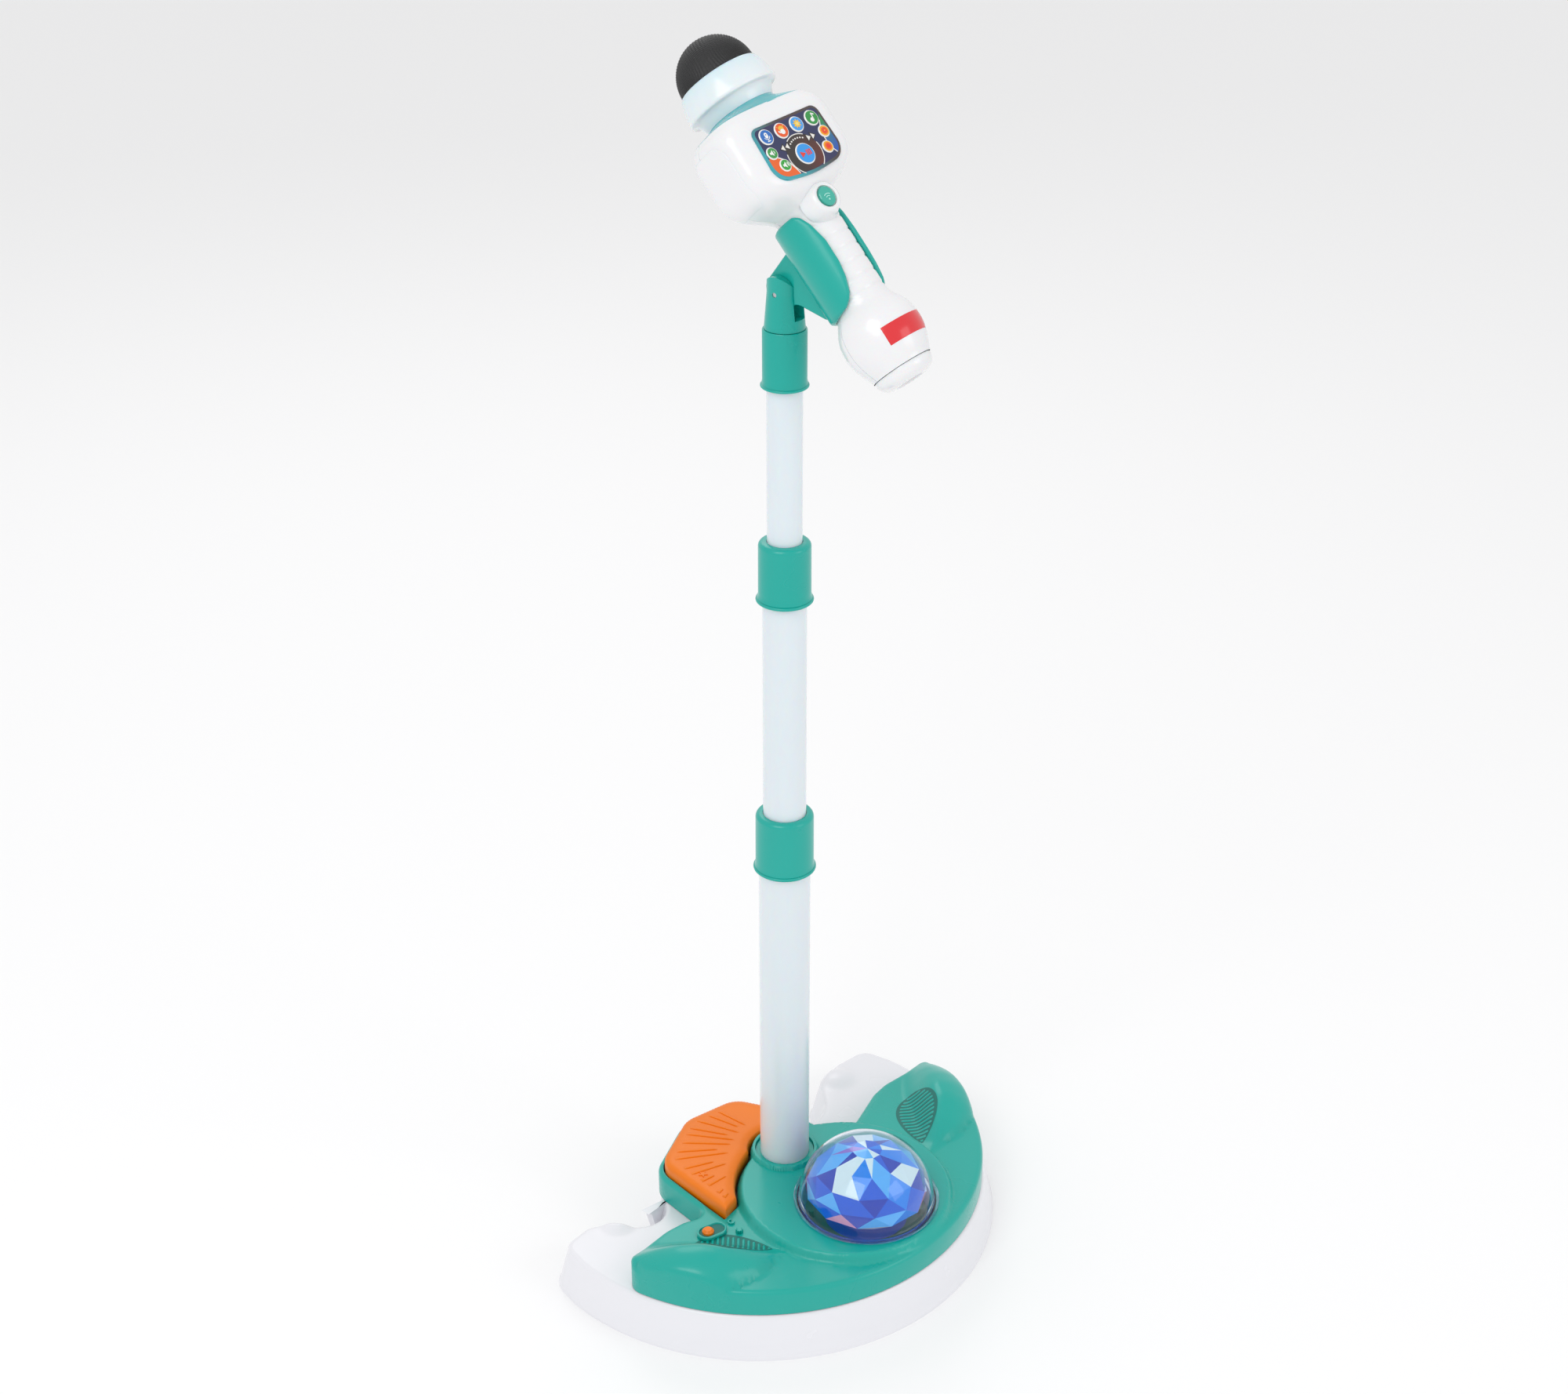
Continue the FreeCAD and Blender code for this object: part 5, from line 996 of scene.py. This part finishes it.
fingers = [bar(-1.35 + 0.9 * i, 1.2 + rise, 1.5, 0.38, 90, yellow) for i,
           rise in enumerate((0.0, 0.5, 0.5, 0.1))]
pictures = {
    "key_song": ((0.01, 0.14, 0.50),
                 [bar(0, 0.7, 1.3, 1.15, 90, cream), (band(0, 0.4, 2.1, 0.4, 200, 340), *raised_cream),
                  bar(0, -2.2, 1.0, 0.25, 90, cream),
                  bar(0, -2.9, 1.7, 0.3, 0, cream), dot(0, 1.2, 0.45, (0.01, 0.14, 0.50), 28.3)]),
    "key_clap": ((0.78, 0.09, 0.003),
                 [dot(0.1, -0.9, 1.65, cream), *fingers, bar(-2.2, -0.6, 1.2, 0.4, 130, cream),
                  bar(-2.4, 2.6, 0.5, 0.2, 130, yellow), bar(2.5, 2.4, 0.5, 0.2, 50, yellow)]),
    "key_star": ((0.05, 0.33, 0.80), [(star_path(0, 0, 3.1, 1.7, 9), 28.0, 28.24, yellow, 0.04),
                                      (star_path(0, 0, 1.7, 0.9, 5, 0.3), 28.1, 28.3, (0.85, 0.66, 0.2),
                                       0.04)]),
    "key_note": ((0.012, 0.27, 0.04), [dot(-0.5, -1.3, 1.35, cream), bar(0.6, 0.5, 3.4, 0.28, 90, cream),
                                       bar(1.4, 1.9, 1.6, 0.4, -35, cream)]),
    "key_quieter": ((0.03, 0.30, 0.05), speaker_picture(1)),
    "key_louder": ((0.02, 0.34, 0.03), speaker_picture(2)),
    "key_drum": ((0.86, 0.40, 0.01), [dot(0, 0, 2.2, (0.80, 0.10, 0.004)), dot(0, 0, 1.3, red, 28.3),
                                      (mark([(-0.4, 0.6), (0.7, 0), (-0.4, -0.6)]), 28.2, 28.36, yellow,
                                       0.03)]),
    "key_horn": ((0.86, 0.40, 0.01), [dot(0, 0, 2.3, (0.80, 0.12, 0.004)), dot(0, 0, 1.35, red, 28.3)]),
    "key_play": ((0.02, 0.30, 0.78), [(mark([(-3.6, 1.9), (-0.2, 0), (-3.6, -1.9)]), 28.0, 28.26, red, 0.05)]
                 + [bar(1.0 + 1.3 * i, 0, 2.8, 0.4, 90, red, 28.26) for i in range(3)]),
}
for name, (x, y, radius) in key_places.items():
    face_colour, picture = pictures[name]
    rings = [(circle(0, 0, radius, 0.6), 24.6, 27.95, cream, 0.45),
             (circle(0, 0, radius - 0.7, 0.6), 27.5, 28.1, face_colour, 0.12)]
    points, faces, colours = stacked(rings + picture)
    made = piece(name + "_skin", on_plate(points + (x, y, 0)), faces, key_print, name, sharp=30,
                 colours=colours)
    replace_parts(made, name)

# Mode button: an oval teal key in the neck's post, with a small raised picture of sound waves.
turn = np.linspace(0, -2 * np.pi, 60, endpoint=False)
oval = np.stack([5.3 * np.cos(turn), 6.1 * np.sin(turn)], 1)
sea, pale_sea = (0.035, 0.42, 0.33), (0.35, 0.75, 0.66)
points, faces, colours = stacked([
    (oval, 20.5, 24.55, sea, 0.5), (circle(-0.2, -2.4, 0.6, 0.3), 24.4, 24.75, pale_sea, 0.05),
    (band(-0.2, -2.4, 2.0, 0.55, 45, 135), 24.4, 24.75, pale_sea, 0.05),
    (band(-0.2, -2.4, 3.5, 0.55, 50, 130), 24.4, 24.75, pale_sea, 0.05)])
mode_skin = piece("mode_button_skin", on_neck(points), faces, key_print, "mode_button", sharp=30,
                  colours=colours)
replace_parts(mode_skin, "mode_button")

# ---------------------------------------------------------------- light ring, collar and windscreen
# The translucent tinted ring that lights up lies between the head and the frosted collar; the woven
# black windscreen sits in the collar's mouth.
level = np.array([86.9, 87.6, 88.4, 90, 91.8, 93.2, 94.0, 94.2])
half, fore, rear, power = section_sizes(np.array([87.6])).T[:, :, None]
turn = np.linspace(0, 2 * np.pi, 160, endpoint=False)[None]
c, s = np.cos(turn), np.sin(turn)
head_edge = np.stack([half * np.sign(c) * np.abs(c) ** (2 / power),
                      np.where(s > 0, fore, rear) * np.sign(s) * np.abs(s) ** (2 / power)], -1)
bearing = np.arctan2(head_edge[..., 1], head_edge[..., 0])
round_edge = 21.4 * np.stack([np.cos(bearing), np.sin(bearing)], -1)
share = np.array([0, 0.0, 0.06, 0.35, 0.75, 0.97, 1, 1.0])[:, None, None]
loft = head_edge * (1 - share) + round_edge * share
loft[0] *= 0.94
loft[-1] *= 0.9
loft = np.concatenate([loft, np.broadcast_to(level[:, None, None], (*loft.shape[:2], 1))], 2)
glow = moulded("light_ring_tint", (0.16, 0.62, 0.66), 0.18, 0.35, 0.02, 400.0, Transmission_Weight=0.35,
               Subsurface_Weight=0.3, Subsurface_Scale=0.01, Emission_Strength=0.06,
               Emission_Color=(0.3, 0.8, 1.0, 1), Coat_Weight=0.4, Coat_Roughness=0.08)
light_skin = piece("light_ring_skin", on_mic(loft.reshape(-1, 3)), lattice(*loft.shape[:2]), glow,
                   "microphone", sharp=40, closed=False)
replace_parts(light_skin, "light_ring")

frosted_ring = moulded("frosted_ring", (0.83, 0.83, 0.86), 0.2, 0.05, 0.02, 300.0, Subsurface_Weight=0.45,
                       Subsurface_Scale=0.015, Coat_Weight=0.35, Coat_Roughness=0.1)
collar_skin = turned("collar_ring_skin", [
    (18.5, 94), (21.5, 94), (21.9, 95.2), (23.4, 98), (24.9, 100.9), (25.4, 101.4), (27.8, 101.6),
    (28.4, 102.2), (28.5, 103.2), (28.2, 105.4), (27.6, 109), (26.7, 113), (25.5, 116.8), (25.0, 117.9),
    (24.5, 118.2), (24.2, 117.7), (24.1, 104), (18.5, 104)], frosted_ring, "microphone", turns=128,
    sharp=50, place=on_mic)
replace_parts(collar_skin, "collar_ring")

around, up = np.meshgrid(np.linspace(0, 2 * np.pi, 420, endpoint=False), np.radians(np.linspace(-4, 90, 96)))
x, y, z = np.cos(up) * np.cos(around), np.cos(up) * np.sin(around), np.sin(up)
first, second = np.arctan2(x, z + 0.35) * 24, np.arctan2(y, z + 0.35) * 24
weave = np.sin(first * 2 * np.pi / 2.1) * np.sin(second * 2 * np.pi / 2.1)
radius = 24 - 0.26 + 0.26 * weave
globe = np.stack([radius * x, radius * y, 119.1 + radius * z], -1)
globe[0] *= (0.93, 0.93, 1)
mesh_black = moulded("woven_black", (0.012, 0.012, 0.013), 0.42, 0.3, 0.7, 1700.0, Specular_IOR_Level=0.5)
globe_skin = piece("windscreen_skin", on_mic(globe.reshape(-1, 3)), lattice(*around.shape), mesh_black,
                   "microphone", sharp=80, closed=False)
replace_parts(globe_skin, "windscreen")

# ---------------------------------------------------------------- hidden and small parts
# The rest stays as it is made; each takes the finish of its material.
plain = {
    "teal_plastic": teal, "orange_plastic": orange, "frosted_white": frosted, "milky_tube": milky,
    "steel": moulded("steel", (0.55, 0.55, 0.57), 0.3, 0.1, 0.1, 2200.0, Metallic=1.0),
    "black_rubber": moulded("black_rubber", (0.02, 0.02, 0.02), 0.7, 0.1, 0.3),
    "grey_plastic": moulded("grey_plastic", (0.35, 0.36, 0.38), 0.5, 0.08, 0.2),
    "circuit_board": moulded("circuit_board", (0.02, 0.22, 0.08), 0.35, 0.2, 0.1),
    "silicone": moulded("silicone", (0.6, 0.6, 0.6), 0.6, 0.05, 0.1),
    "speaker_black": moulded("speaker_black", (0.02, 0.02, 0.02), 0.6, 0.1, 0.2),
    "cell_sleeve": moulded("cell_sleeve", (0.10, 0.30, 0.15), 0.35, 0.05, 0.02),
    "white_plastic": white,
}
for name, node in nodes.items():
    finish = tub_blue if name == "projector_tub" else plain.get(slots[name]) or frosted
    node.data.materials.clear()
    node.data.materials.append(finish)
